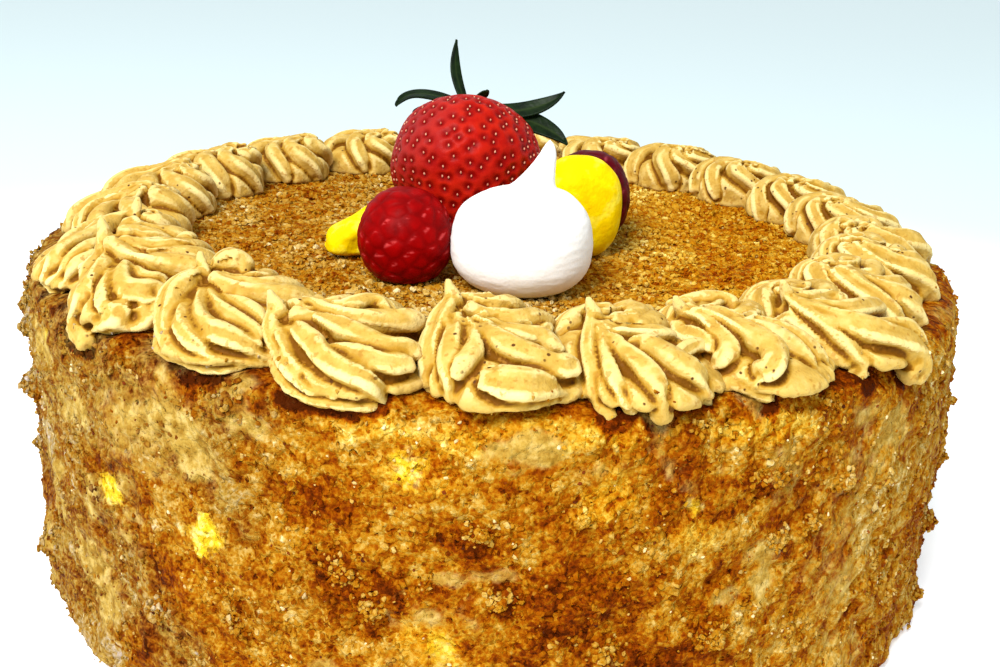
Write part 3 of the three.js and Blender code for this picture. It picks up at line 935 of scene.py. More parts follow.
@dataclass
class CrumbCoat:
    """The coated body: a wall with lumps and smears, a rough rim and an uneven open disc."""

    radius: float = 104.0 * MM
    rim: float = 4.6 * MM
    foot: float = 2.5 * MM
    wall_lump: float = 0.9 * MM
    disc_lump: float = 0.5 * MM
    open_radius: float = 70.0 * MM
    columns: int = 740
    rows: int = 134
    seed: int = 11
    # Each crag's angle in degrees, height in mm and size in mm.
    crags: tuple[Place, ...] = (
        (-158.0, 65.0, 3.6), (-157.0, 47.7, 4.2), (-151.0, 15.2, 4.2), (-23.0, 24.4, 4.0), (-22.0, 6.0, 3.6),
        (-78.0, 27.3, 3.2), (-100.0, 35.5, 3.0), (-103.0, 42.0, 2.8), (-62.0, 58.4, 3.4), (-52.4, 53.5, 2.8),
        (-56.0, 46.5, 2.4), (-90.0, 52.0, 2.2), (-67.5, 29.0, 3.0), (-114.0, 27.0, 2.6), (-125.0, 22.0, 2.6),
        (-97.0, 24.0, 2.2), (-21.0, 52.0, 2.4), (-159.0, 33.0, 2.4), (-22.0, 40.0, 2.2),
    )
    spread_clumps: int = 18
    spread_size: float = 2.3
    sectors: int = 720
    wall_tone: float = 0.465
    disc_tone: float = 0.49
    # The share of the outline at which the top starts, and over which the wall's looks end there.
    top_starts: float = 0.88
    top_fades: float = 0.02

    def __post_init__(self) -> None:
        """Takes the height from the solid and lays patches where the photograph doesn't show the wall."""
        _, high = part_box("cake_body")
        self.height = high.z - self.disc_lump * 0.8
        self.noses = np.full(self.sectors, self.height)
        draw = np.random.default_rng(self.seed)
        self.smears = SHOWN_SMEARS + self.more_patches(draw, 34, 5.0, 4.0)
        self.yellows = SHOWN_YELLOW + self.more_patches(draw, 7, 3.0, 3.0)
        self.rusts = SHOWN_RUST + self.more_patches(draw, 12, 9.0, 6.0)
        self.golds = SHOWN_GOLD + self.more_patches(draw, 6, 10.0, 3.0)
        rank = np.arange(1, self.spread_clumps + 1)
        turns, heights = (rank[:, None] * EVEN_STEPS % 1.0 * (360.0, 57.5) + (0.0, 6.0)).T
        spread = np.column_stack([turns, heights, np.full(self.spread_clumps, self.spread_size)])
        self.clumps = np.vstack([self.crags, spread]) * (math.pi / 180.0, MM, MM)

    def more_patches(self, draw: np.random.Generator, count: int, wide: float,
                     tall: float) -> tuple[Patch, ...]:
        """Patches on the side that the photograph doesn't show.

        Args:
            draw: Where their places come from.
            count: How many.
            wide: Half their mean width in mm.
            tall: Half their mean height in mm.

        Returns:
            The patches.
        """
        made = []
        for _ in range(count):
            turn, height = draw.uniform(-20.0, 200.0), draw.uniform(6.0, 68.0)
            half_wide, half_tall = wide * draw.uniform(0.6, 1.4), tall * draw.uniform(0.6, 1.4)
            made.append(Patch(turn, height, half_wide, half_tall, draw.uniform(0.6, 1.0)))
        return tuple(made)

    def on_wall(self, turn: Array, height: Array) -> Array:
        """Places on the plain wall."""
        return round_at(self.radius, turn, height)

    def covered(self, patches: tuple[Patch, ...], places: Array, seed: int) -> Array:
        """How far each place is covered by some soft and ragged patches.

        Args:
            patches: The patches.
            places: Places on the wall.
            seed: Which ragged edges they have.

        Returns:
            A share from 0 to 1 for each place.
        """
        turn = turn_of(places)
        ragged = hills(places, (0.45, 5.0, seed), (0.4, 2.2, seed + 1))
        share = np.zeros(len(places))
        for patch in patches:
            apart = turn_apart(turn, math.radians(patch.turn)) * self.radius / patch.wide
            away = np.hypot(apart, (places[:, 2] - patch.height * MM) / patch.tall) / MM
            share = np.maximum(share, patch.strength * (1.0 - ease(away + ragged, 0.35, 1.35)))
        return share

    def smear(self, places: Array) -> Array:
        """Where the cream shows through the crumbs.

        Args:
            places: Places on the coat.

        Returns:
            A share from 0 to 1 for each place.
        """
        slanted = places @ np.array([[1.0, 0.0, 0.35], [0.0, 1.0, 0.25], [0.0, 0.0, 0.8]])
        broad = hills(slanted, (1.0, 13.0, 3), (0.7, 5.0, 4)) + hills(places, (0.5, 2.4, 5))
        return np.maximum(0.6 * ease(broad, 0.35, 1.1), self.covered(self.smears, places, 14))

    def streaks(self, places: Array) -> Array:
        """Slanting streaks left by the spatula at one side.

        Args:
            places: Places on the coat.

        Returns:
            A number from -1 to 1 for each place.
        """
        turn = turn_of(places)
        along, up = self.radius * turn, places[:, 2]
        slanted = np.column_stack([(along + up) * 0.16, (up - along) * 0.7, 0.05 * along])
        shown = ease(turn, math.radians(-75.0), math.radians(-55.0)) * (turn < 0.5)
        return bumps(slanted, 1.8 * MM, 18) * shown

    def tone(self, places: Array) -> Array:
        """How pale the coat is, with painted shade below the clumps and under the border's noses.

        Args:
            places: Places on the coat.

        Returns:
            A number from 0, burnt, to 1, cream, for each place.
        """
        crumbs = self.wall_tone + hills(places, (0.11, 24.0, 6), (0.14, 8.0, 7), (0.10, 3.0, 19))
        crumbs += 0.11 * self.streaks(places)
        crumbs += 0.17 * self.covered(self.golds, places, 28) - 0.22 * self.covered(self.rusts, places, 16)
        crumbs -= 0.14 * ease(self.hue(places), 0.2, -0.8) * ease(bumps(places, 12.0 * MM, 35), -0.6, 0.6)
        turn = turn_of(places)
        # Painted shadow just below each crag and clump.
        for middle, rise, size in self.clumps:
            apart = turn_apart(turn, middle) * self.radius
            away = np.hypot(apart, places[:, 2] - rise + 0.9 * size) / (0.85 * size)
            crumbs -= 0.2 * np.exp(-(away**2))
        # Painted shade in a band at the top of the wall, deepest just below where the border's noses hang
        # over it.
        nose = self.noses[self.sector(places)]
        shade_under_noses = blend(0.16, 0.62, ease(self.height - nose, 0.0, 1.0 * MM))
        return crumbs - shade_under_noses * (1.0 - ease(nose - places[:, 2], 0.3 * MM, 2.1 * MM))

    def hue(self, places: Array) -> Array:
        """How golden the coat is; on the open disc, painted light that brightens the side away from the lamp.

        Args:
            places: Places on the coat.

        Returns:
            A number from 1, golden, to -1, khaki, for each place. On the open disc, 1 is the strongest
            painted light.
        """
        turn = np.degrees(turn_of(places))
        ragged = hills(places, (13.0, 14.0, 38), (7.0, 5.0, 39))
        left = np.where(turn < 0.0, ease(-turn + ragged, 100.0, 136.0), ease(turn + ragged, 140.0, 165.0))
        behind = np.where(turn > 0.0, ease(bumps(places, 40.0 * MM, 36), -0.2, 0.5), 0.0)
        patchy = 0.8 + 0.3 * bumps(places, 7.0 * MM, 37)
        wall = self.covered(self.golds, places, 28) - np.maximum(left, behind) * patchy
        inside = reach_of(places) < self.radius - 2.0 * self.rim
        # On the open disc: painted light, rising towards +x to brighten the side away from the lamp.
        return np.where(inside, 0.9 * ease(places[:, 0] / self.open_radius, -0.1, 0.8), wall)

    def sector(self, places: Array) -> Array:
        """The number of the narrow sector that each place lies in."""
        return ((turn_of(places) / math.pi + 1.0) * 0.5 * self.sectors).astype(int) % self.sectors

    def meet(self, border: list[Piece]) -> None:
        """Notes how low the border's noses hang in each sector, for the painted shade under them.

        Args:
            border: The dollops.
        """
        places = np.vstack([points_of(dollop) for dollop in border])
        outer = places[reach_of(places) > self.radius - 0.6 * self.rim]
        np.minimum.at(self.noses, self.sector(outer), outer[:, 2])

    def yellow(self, places: Array) -> Array:
        """Spots of bright sponge in the coat, from 0 to 1."""
        return self.covered(self.yellows, places, 24)

    def wall_radius(self, turn: Array, height: Array) -> Array:
        """How far out the wall lies at an angle and a height.

        Args:
            turn: The angles.
            height: The heights.

        Returns:
            One distance from the upright axis per angle.
        """
        tall = height / MM
        lump = 0.4 * np.sin(7 * turn + 0.11 * tall) + 0.35 * np.sin(13 * turn - 0.17 * tall + 1.3)
        lump += 0.25 * np.sin(19 * turn + 0.31 * tall + 2.1)
        places = self.on_wall(turn, height)
        rough = hills(places, (0.6, 7.0, 8), (0.6, 3.2, 9), (0.45, 1.6, 10))
        flaky = 0.5 * np.abs(bumps(places, 4.4 * MM, 25)) + 0.35 * np.abs(bumps(places, 2.0 * MM, 26))
        calm = 1.0 - 0.65 * self.smear(places)
        relief = (rough - flaky + 0.3 + 0.5 * self.streaks(places)) * calm * MM
        reach = self.radius + self.wall_lump * lump * 0.8 + relief
        for middle, rise, size in self.clumps:
            apart = turn_apart(turn, middle) * self.radius
            reach += 0.62 * size * np.exp(-(apart**2 + (height - rise) ** 2) / (0.62 * size) ** 2)
        return reach

    def disc_height(self, places: Array) -> Array:
        """How high the top lies. It is flat under the border.

        Args:
            places: Places on the top, where only x and y count.

        Returns:
            One height per place.
        """
        flat = np.column_stack([places[:, 0], places[:, 1], np.full(len(places), self.height)])
        across, back = flat[:, 0] / MM, flat[:, 1] / MM
        lump = 0.5 * np.sin(0.19 * across + 0.4) * np.cos(0.23 * back)
        lump += 0.5 * np.sin(0.31 * (across - back) + 1.7)
        rough = hills(flat, (0.35, 6.0, 11), (0.3, 2.4, 12))
        open_share = 1.0 - ease(reach_of(flat), self.open_radius * 0.9, self.open_radius)
        return self.height + (self.disc_lump * lump * 0.8 + rough * MM) * open_share

    def profile(self, share: Array) -> Array:
        """Radius and height along the outline from the middle of the foot to the middle of the top.

        Args:
            share: The share of the way along, where the wall takes most of the way.

        Returns:
            One pair per share.
        """
        top = self.height
        rim_middle = (self.radius - 0.3 * self.rim, top - 0.3 * self.rim)
        knots = np.array([
            (0.0, 0.0), (self.radius - self.foot, 0.0), (self.radius, self.foot),
            (self.radius, top - self.rim), rim_middle, (self.radius - self.rim, top), (0.0, top),
        ])
        stations = np.array([0.0, 0.02, 0.045, 0.81, 0.845, self.top_starts, 1.0])
        return np.column_stack([np.interp(share, stations, knots[:, axis]) for axis in (0, 1)])

    def build(self, material: Material) -> Piece:
        """Shapes the coated body and dresses it.

        Args:
            material: The coat's finish.

        Returns:
            The piece.
        """
        piece, turn, rise = ball("crumb_coat", self.columns, self.rows)
        reach, height = self.profile(rise).T
        wall = self.wall_radius(turn, height)
        edge = ease(reach, self.radius * 0.93, self.radius) * (height > self.foot * 0.4)
        places = round_at(reach + (wall - self.radius) * edge, turn, height)
        on_top = rise > self.top_starts
        places[on_top, 2] = self.disc_height(places[on_top])
        off_disc = 1.0 - ease(rise, self.top_starts, self.top_starts + self.top_fades)
        rim = ease(rise, 0.79, 0.83) * off_disc
        places[:, 2] += rim * 0.8 * MM * bumps(places, 4.0 * MM, 13)
        set_points(piece, places)
        smear = self.smear(places) * off_disc
        paint(piece, "tone", blend(self.disc_tone, self.tone(places), off_disc))
        paint(piece, "smear", smear)
        paint(piece, "rough", 1.0 - 0.55 * smear)
        paint(piece, "yellow", self.yellow(places) * off_disc)
        paint(piece, "hue", self.hue(places))
        return complete(piece, material, ("cake_body",))


@dataclass
class LooseCrumbs:
    """Crumbs pressed into the coat, each kind as one mesh."""

    coat: CrumbCoat
    paste: Material
    pressed: float = 0.15
    seed: int = 5
    models: int = 8

    def __post_init__(self) -> None:
        """Models a few crumbs and grains by roughening small balls and octahedra."""
        self.draw = np.random.default_rng(self.seed)
        corners, self.faces = small_ball()
        rough = self.draw.uniform(0.55, 1.25, size=(self.models, len(corners), 1))
        self.shapes = [corners * size for size in rough]
        octahedron = np.array([[1, 0, 0], [0, 1, 0], [-1, 0, 0], [0, -1, 0], [0, 0, 1], [0, 0, -1]], float)
        self.grain_faces = np.array([
            [0, 1, 4], [1, 2, 4], [2, 3, 4], [3, 0, 4], [1, 0, 5], [2, 1, 5], [3, 2, 5], [0, 3, 5],
        ])
        rough = self.draw.uniform(0.7, 1.35, size=(self.models, len(octahedron), 1))
        self.grain_shapes = [octahedron * size for size in rough]

    def piece(self, name: str, places: Array, sizes: Array, shades: Array,
              outward: Array, material: Material, small: bool = False) -> Piece:
        """One kind of crumb.

        Args:
            name: Name of the piece.
            places: The middle of each crumb.
            sizes: Half the width of each crumb.
            shades: The shade of each crumb, from 0, burnt, to 1, pale.
            outward: The way that the coat faces under each crumb.
            material: The crumbs' finish.
            small: Whether they are too small for more than a few faces.

        Returns:
            The piece.
        """
        count = len(places)
        shapes, faces = (self.grain_shapes, self.grain_faces) if small else (self.shapes, self.faces)
        stretch = self.draw.uniform(0.6, 1.35, size=(count, 1, 3))
        turns = random_turns(self.draw, count) * stretch * sizes[:, None, None]
        turns -= self.pressed * outward[:, :, None] * (outward[:, None, :] @ turns)
        made = joined_copies(name, shapes, faces, turns, places, self.draw.integers(0, self.models, count))
        paint(made, "tone", np.repeat(np.clip(shades, 0.0, 1.0), len(shapes[0])))
        paint(made, "rough", np.full(len(made.data.vertices), 0.6))
        on_wall = outward[:, 2] < 0.5
        paint(made, "yellow", np.repeat(self.coat.yellow(places) * on_wall, len(shapes[0])))
        paint(made, "hue", np.repeat(self.coat.hue(places), len(shapes[0])))
        return complete(made, material, soft=False)

    def wall_places(self, count: int, bare_share: float, clumping: float) -> tuple[Array, Array]:
        """Angles and heights of crumbs on the wall.

        Args:
            count: About how many.
            bare_share: How many of those on smears stay.
            clumping: How strongly they gather, from 0 to 1.

        Returns:
            The angles and the heights.
        """
        tries = count * 4
        turn = self.draw.uniform(-math.pi, math.pi, tries)
        height = self.draw.uniform(1.5 * MM, self.coat.height - 0.6 * MM, tries)
        places = self.coat.on_wall(turn, height)
        likely = blend(1.0, bare_share, self.coat.smear(places))
        gathered = ease(hills(places, (1.0, 9.0, 21), (0.7, 3.5, 22)), -0.1, 0.8)
        rusty = self.coat.covered(self.coat.rusts, places, 16)
        likely *= blend(1.0, np.maximum(gathered, 0.8 * rusty), clumping)
        kept = np.flatnonzero(self.draw.uniform(size=tries) < likely)[:count]
        return turn[kept], height[kept]

    def on_coat(self, turn: Array, height: Array, proud: Array) -> Array:
        """Places that stand proud of the wall, following it round the rim.

        Args:
            turn: Their angles.
            height: Their heights.
            proud: How far out of the wall each one stands.

        Returns:
            One place per row.
        """
        reach = self.coat.wall_radius(turn, height) + proud
        over = np.clip((height - (self.coat.height - self.coat.rim)) / self.coat.rim, 0.0, 1.0)
        reach -= self.coat.rim * (1.0 - np.sqrt(1.0 - over**2))
        return round_at(reach, turn, height)

    def facing(self, turn: Array) -> Array:
        """The way that the wall faces at some angles."""
        return round_at(1.0, turn, 0.0)

    def finish(self, name: str) -> Material:
        """The coat's finish for crumbs, and one of their own for pale grains and burnt specks."""
        return self.paste if "crumbs" in name else CrumbFinish(name + "_finish").material()

    def build_wall(self) -> None:
        """Fine and coarse crumbs, pale grains and burnt specks on the wall."""
        draw = self.draw
        # The pale grains stand for pale crumbs and also for painted glints.
        for name, count, low, high, bare, clumping, lift, spread, small in (
            ("wall_crumbs_fine", 14000, 0.24, 0.46, 0.10, 0.5, 0.02, 0.09, True),
            ("wall_crumbs_coarse", 7000, 0.40, 0.85, 0.02, 1.0, 0.04, 0.10, False),
            ("wall_pale_grains_and_glints", 1500, 0.20, 0.48, 0.30, 0.9, 0.34, 0.10, False),
            ("wall_specks_burnt", 700, 0.18, 0.46, 0.80, 0.3, -0.32, 0.08, False),
        ):
            turn, height = self.wall_places(count, bare, clumping)
            size = draw.uniform(low, high, len(turn)) * MM
            tone = self.coat.tone(self.coat.on_wall(turn, height)) + lift
            places = self.on_coat(turn, height, size * -0.1)
            shade = draw.normal(tone, spread)
            self.piece(name, places, size, shade, self.facing(turn), self.finish(name), small)

    def build_clumps(self, crumbs_each: int = 52) -> None:
        """The crags and the other clumps of crumbs.

        Args:
            crumbs_each: How many crumbs each one is pressed from.
        """
        turn, height, radius = np.repeat(self.coat.clumps, crumbs_each, axis=0).T
        away = self.draw.normal(size=(2, len(turn))) * 0.6 * radius
        turn = turn + away[0] / self.coat.radius
        height = np.clip(height + 0.8 * away[1], 1.2 * MM, self.coat.height - 4.0 * MM)
        size = self.draw.uniform(0.25, 0.7, len(turn)) * MM
        # Crumbs higher in a clump are paler: painted light on its top.
        shade = 0.56 + 0.1 * away[1] / radius + self.draw.normal(0.0, 0.08, len(turn))
        places = self.on_coat(turn, height, 0.3 * size)
        self.piece("wall_clumps", places, size, shade, self.facing(turn), self.paste)

    def build_disc(self) -> None:
        """Granular crumbs all over the open disc, and a few pale grains."""
        draw = self.draw
        for name, count, low, high, shade_middle, spread in (
            ("disc_crumbs_fine", 13000, 0.34, 0.60, 0.58, 0.10),
            ("disc_crumbs_coarse", 5500, 0.48, 0.9, 0.59, 0.12),
            ("disc_crumbs_large", 900, 0.7, 1.2, 0.64, 0.10),
            ("disc_grains_pale", 260, 0.3, 0.6, 0.80, 0.07),
        ):
            reach = (self.coat.open_radius + 8.0 * MM) * np.sqrt(draw.uniform(size=count))
            turn = draw.uniform(-math.pi, math.pi, count)
            places = round_at(reach, turn, 0.0)
            size = draw.uniform(low, high, count) * MM
            middle = shade_middle + hills(places, (0.13, 11.0, 27), (0.1, 27.0, 29))
            places[:, 2] = self.coat.disc_height(places) + 0.05 * size
            shade = draw.normal(middle, spread)
            up = np.tile(UPWARD, (count, 1))
            self.piece(name, places, size, shade, up, self.finish(name), name.endswith("fine"))

    def build_heaps(self, heaps: int = 22, crumbs_each: int = 34) -> None:
        """Small heaps of crumbs on the open disc, the first two at the foot of a raspberry.

        Args:
            heaps: How many.
            crumbs_each: How many crumbs each one has.
        """
        draw = self.draw
        reach = self.coat.open_radius * 0.95 * np.sqrt(draw.uniform(size=heaps))
        turn = draw.uniform(-math.pi, math.pi, heaps)
        middles = round_at(reach, turn, 0.0)
        low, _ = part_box("raspberry_front")
        middles[0] = low.x + 1.0 * MM, low.y, 0.0
        middles[1] = low.x - 9.0 * MM, low.y - 5.0 * MM, 0.0
        away = draw.normal(scale=2.8 * MM, size=(heaps * crumbs_each, 3)) * (1.0, 1.0, 0.0)
        places = np.repeat(middles, crumbs_each, axis=0) + away
        size = draw.uniform(0.35, 0.85, len(places)) * MM
        places[:, 2] = self.coat.disc_height(places) + draw.uniform(0.2, 1.0, len(places)) * size
        shade = draw.normal(0.66, 0.1, len(places))
        self.piece("disc_heaps", places, size, shade, np.tile(UPWARD, (len(places), 1)), self.paste)

    def build_on_cream(self, border: list[Piece], each: int = 9) -> None:
        """A few crumbs that stick to the outer ends of the dollops.

        Args:
            border: The dollops.
            each: How many on one dollop.
        """
        chosen = []
        for dollop in border:
            places = points_of(dollop)
            out = reach_of(places)
            low = places[:, 2] < self.coat.height + 5.0 * MM
            near = np.flatnonzero((out > np.quantile(out, 0.8)) & low)
            chosen.append(places[self.draw.choice(near, each)])
        places = np.vstack(chosen)
        size = self.draw.uniform(0.2, 0.5, len(places)) * MM
        shade = self.draw.normal(0.62, 0.14, len(places))
        self.piece("border_crumbs", places, size, shade, self.facing(turn_of(places)), self.paste)


@dataclass
class PipedBorder:
    """The ring of cream dollops. Each is a bundle of ropes that swirl down from its tip."""

    count: int = 23
    start: float = math.radians(-173.3)
    crowding: float = 0.1
    crowded_at: float = math.radians(-20.0)
    ring_radius: float = 87.0 * MM
    ring_centre: tuple[float, float] = (1.0 * MM, -1.5 * MM)
    long: float = 17.6
    wide: float = 15.0
    core: tuple[float, float] = (0.985, 0.865)
    back_core: tuple[float, float] = (0.84, 0.82)
    sunk: float = 0.72
    grain: float = 0.52 * MM
    ropes_each: int = 7
    drawn_in: float = 0.17
    let_down: float = 0.24
    flank: float = 0.36
    hidden_turns: tuple[float, ...] = (140.0, 178.0, 216.0, 252.0)
    ledge: float = 99.5 * MM
    first_seed: int = 300
    core_foot: float = 0.1
    profile: Outline = (
        (0.90, 0.0), (0.985, 0.05), (1.0, 0.2), (0.99, 0.39), (0.92, 0.57), (0.77, 0.70), (0.56, 0.79),
        (0.33, 0.86), (0.12, 0.94), (0.0, 1.03),
    )
    # Places of the peak from the tip and half its width there, in mm.
    peak: tuple[tuple[float, float, float, float], ...] = (
        (0.0, 0.0, -4.5, 3.0), (0.0, 0.0, -2.0, 2.2), (0.0, 0.0, -0.4, 1.5), (-0.3, -0.4, 0.9, 0.8),
        (-0.5, -0.6, 2.2, 0.3),
    )

    def angle(self, index: int) -> float:
        """Where a dollop stands round the cake, a little crowded on one side."""
        even = self.start + index / self.count * 2.0 * math.pi
        return even - self.crowding * math.sin(even - self.crowded_at)

    def local(self, node: str, index: int) -> tuple[Array, Array]:
        """A dollop's own frame.

        Args:
            node: The solid.
            index: Its number in the ring.

        Returns:
            The middle of its foot, and the outward, along-the-ring and up directions as rows.
        """
        turn = self.angle(index)
        outward = (math.cos(turn), math.sin(turn), 0.0)
        low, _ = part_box(node)
        middle = np.array([*self.ring_centre, low.z]) + self.ring_radius * np.array(outward)
        return middle, np.array([outward, (-outward[1], outward[0], 0.0), UPWARD])

    def dome(self, tip: Array, turn: Array, reach: Array, height: Array) -> Array:
        """Places on a plain dollop in mm.

        Args:
            tip: Where its tip stands.
            turn: The angle of each place.
            reach: How far out from the middle each place lies, 1 at the edge.
            height: How high it lies, 1 at the tip.

        Returns:
            One place per row.
        """
        out = reach * self.long * np.cos(turn) + tip[0] * (1.0 - reach)
        side = reach * self.wide * np.sin(turn) + tip[1] * (1.0 - reach)
        return np.column_stack([out, side, height * tip[2]])

    def slighter(self, turn: Array, reach: Array, height: Array) -> tuple[Array, Array]:
        """Draws the outer side of a dollop in and lets it down, as the border is at the back.

        Args:
            turn: The angle of each place.
            reach: How far out it lies.
            height: How high it lies.

        Returns:
            The new reach and height.
        """
        outer = ease(np.cos(turn), -0.2, 0.8)
        lower = height * (1.0 - self.let_down * outer * ease(reach, 0.15, 0.6))
        return reach * (1.0 - self.drawn_in * outer), lower

    def swirled(self, tip: Array, turns: Array, draw: np.random.Generator) -> tuple[Rope, ...]:
        """Ropes that swirl down a dollop.

        Args:
            tip: Where its tip stands in mm.
            turns: The angle at which each rope ends.
            draw: How uneven they are.

        Returns:
            The ropes.
        """
        share = np.linspace(0.0, 1.0, 6)
        reach = 0.14 + 0.86 * np.sin(share * math.pi / 2.0)
        knots = np.array(self.profile[:1:-1])
        height = np.interp(reach, *knots.T)
        height[-2:] = 0.42, draw.uniform(0.05, 0.2)
        made = []
        for turn in turns:
            sweep = math.radians(draw.uniform(55.0, 105.0))
            swept = turn - sweep * (1.0 - share) ** 1.4
            line = self.dome(tip, swept, *self.slighter(swept, reach * draw.uniform(0.85, 0.98), height))
            made.append(Rope(draw.uniform(2.4, 3.4), tuple(map(tuple, line))))
        return tuple(made)

    def ropes(self, index: int, tip: Array) -> tuple[Rope, ...]:
        """All the ropes of a dollop, as shown where the photograph shows them.

        Args:
            index: Its number in the ring.
            tip: Where its tip stands in mm.

        Returns:
            The ropes.
        """
        draw = np.random.default_rng(self.first_seed + index)
        if index in SHOWN_ROPES:
            return SHOWN_ROPES[index] + self.swirled(tip, np.radians(self.hidden_turns), draw)
        even = np.arange(self.ropes_each) + draw.uniform() + draw.uniform(-0.25, 0.25, self.ropes_each)
        return self.swirled(tip, even / self.ropes_each * 2.0 * math.pi, draw)

    def laid(self, ropes: tuple[Rope, ...], tip: Array, peak: Array) -> list[Array]:
        """The crests of the ropes as smooth lines, tapered at both ends.

        Args:
            ropes: The ropes.
            tip: Where the dollop's tip stands.
            peak: The peak above the tip.

        Returns:
            One line per rope and one for the peak, each row a place and half the width there in mm.
        """
        lines = [np.column_stack([tip + peak[:, :3], peak[:, 3]])]
        for rope in ropes:
            line = np.array(rope.line)
            end = line[-1] - line[-2]
            line = np.vstack([line, line[-1] + end / np.linalg.norm(end) * rope.half * 0.5])
            widths = rope.half * np.array([0.45, *[1.0] * (len(line) - 3), 0.9, 0.4])
            line = np.column_stack([line, widths])
            for _ in range(2):
                near, far = 0.75 * line[:-1] + 0.25 * line[1:], 0.25 * line[:-1] + 0.75 * line[1:]
                line = np.vstack([line[:1], np.stack([near, far], axis=1).reshape(-1, 4)[1:-1], line[-1:]])
            lines.append(line)
        return lines

    def piped(self, name: str, lines: list[Array], heart: Array) -> Piece:
        """The ropes as one curve, in the dollop's own frame in mm.

        Args:
            name: Name of the piece.
            lines: The ropes' crests.
            heart: The place that they sink towards.

        Returns:
            The piece.
        """
        curve = bpy.data.curves.new(name, "CURVE")
        curve.dimensions = "3D"
        curve.bevel_depth = 1.0
        curve.bevel_resolution = 6
        curve.use_fill_caps = True
        for line in lines:
            places, widths = line[:, :3], line[:, 3]
            inward = unit(heart - places)
            spline = curve.splines.new("POLY")
            spline.points.add(len(line) - 1)
            middle = places + inward * (self.sunk * widths)[:, None]
            spline.points.foreach_set("co", np.column_stack([middle, np.ones(len(line))]).ravel())
            spline.points.foreach_set("radius", 1.06 * widths)
        piece = bpy.data.objects.new(name, curve)
        bpy.context.scene.collection.objects.link(piece)
        return piece

    def plain(self, name: str, tip: Array, shown: bool) -> Piece:
        """The core of a dollop, in its own frame in mm.

        Args:
            name: Name of the piece.
            tip: Where the dollop's tip stands.
            shown: Whether the photograph shows the dollop.

        Returns:
            The piece.
        """
        piece, turn, rise = ball(name, 64, 32)
        under = rise < self.core_foot
        reach, height = smooth_curve(self.profile, np.clip(rise / 0.9 - 0.11, 0.0, 1.0)).T
        reach = np.where(under, self.profile[0][0] * rise / self.core_foot, reach)
        reach = reach * blend(*(self.core if shown else self.back_core), ease(height, 0.1, 0.6))
        height = np.where(under, 0.0, height * 0.84)
        if not shown:
            reach, height = self.slighter(turn, reach, height)
        set_points(piece, self.dome(tip, turn, reach, height))
        return piece

    def pipe(self, index: int) -> Piece:
        """One dollop: a plain core with the ropes laid on it, worked into one skin.

        Args:
            index: Its number in the ring.

        Returns:
            The piece.
        """
        node = f"cream_dollop_{index + 1:02d}"
        middle, axes = self.local(node, index)
        shown = index in SHOWN_ROPES
        solid = points_of(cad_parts[node])
        tip = axes @ (solid[solid[:, 2].argmax()] - middle) / MM
        if shown:
            tip = np.array(SHOWN_ROPES[index][0].line[0]) + (0.0, 0.0, 0.6)
        lines = self.laid(self.ropes(index, tip), tip, np.array(self.peak if shown else self.peak[:3]))
        heart = np.array([0.0, 0.0, 2.0]) + 0.25 * tip
        roped = self.piped(f"ropes_{index}", lines, heart)
        piece = self.plain(f"piped_cream_{index + 1:02d}", tip, shown)
        bpy.ops.object.select_all(action="DESELECT")
        roped.select_set(True)
        bpy.context.view_layer.objects.active = roped
        bpy.ops.object.convert(target="MESH")
        piece.select_set(True)
        bpy.context.view_layer.objects.active = piece
        bpy.ops.object.join()
        set_points(piece, middle + points_of(piece) @ axes * MM)
        piece.data.remesh_voxel_size = self.grain
        bpy.ops.object.voxel_remesh()
        soften(piece, 3)
        for line in lines:
            line[:, :3] = middle + line[:, :3] @ axes * MM
            line[:, 3] *= MM
        self.work_over(piece, lines, middle + heart @ axes * MM, middle[2])
        return piece

    def nearest_crest(self, places: Array, lines: list[Array]) -> Array:
        """The nearest rope to each place.

        Args:
            places: The places.
            lines: The ropes' crests.

        Returns:
            The nearest place on a crest, by the rope's width, with half the width there.
        """
        crest = np.zeros((len(places), 4))
        away = np.full(len(places), np.inf)
        for line in lines:
            for start, end in itertools.pairwise(line):
                way = (end - start)[:3]
                share = np.clip((places - start[:3]) @ way / (way @ way), 0.0, 1.0)
                here = start + np.outer(share, end - start)
                far = np.linalg.norm(places - here[:, :3], axis=1) / here[:, 3]
                closer = far < away
                away[closer] = far[closer]
                crest[closer] = here[closer]
        return crest

    def work_over(self, piece: Piece, lines: list[Array], heart: Array, foot: float) -> None:
        """Draws the ropes up to sharp crests, roughens them, sits the dollop on the cake and paints shade
        into its hollows and light along its crests.

        Args:
            piece: The dollop.
            lines: The ropes' crests.
            heart: The middle of the dollop.
            foot: The height of the cake's top.
        """
        places = points_of(piece)
        crest = self.nearest_crest(places, lines)
        outward = unit(crest[:, :3] - heart)
        apart = places - crest[:, :3]
        apart -= (apart * outward).sum(1)[:, None] * outward
        aside = np.linalg.norm(apart, axis=1) / crest[:, 3]
        flank = np.sin(math.pi * np.clip(aside / 1.2, 0.0, 1.0) ** 0.9)
        places -= outward * (self.flank * crest[:, 3] * flank)[:, None]
        set_points(piece, places)
        deeper = 1.35 * np.clip(hollows(piece, 11), -0.25 * MM, 0.8 * MM)
        places -= normals_of(piece) * deeper[:, None]
        set_points(piece, places)
        soften(piece, 2)
        places = points_of(piece)
        low = 1.0 - ease(places[:, 2], foot, foot + 4.0 * MM)
        lump = hills(places, (0.26, 5.5, 31), (0.12, 2.2, 32))
        lump += (0.05 + 0.2 * low) * bumps(places, 1.1 * MM, 33)
        places += outward * (lump * MM)[:, None]
        over = np.clip(reach_of(places) - self.ledge, 0.0, None)
        places[:, 2] = np.maximum(places[:, 2], foot - 0.3 * MM - 1.4 * over)
        set_points(piece, places)
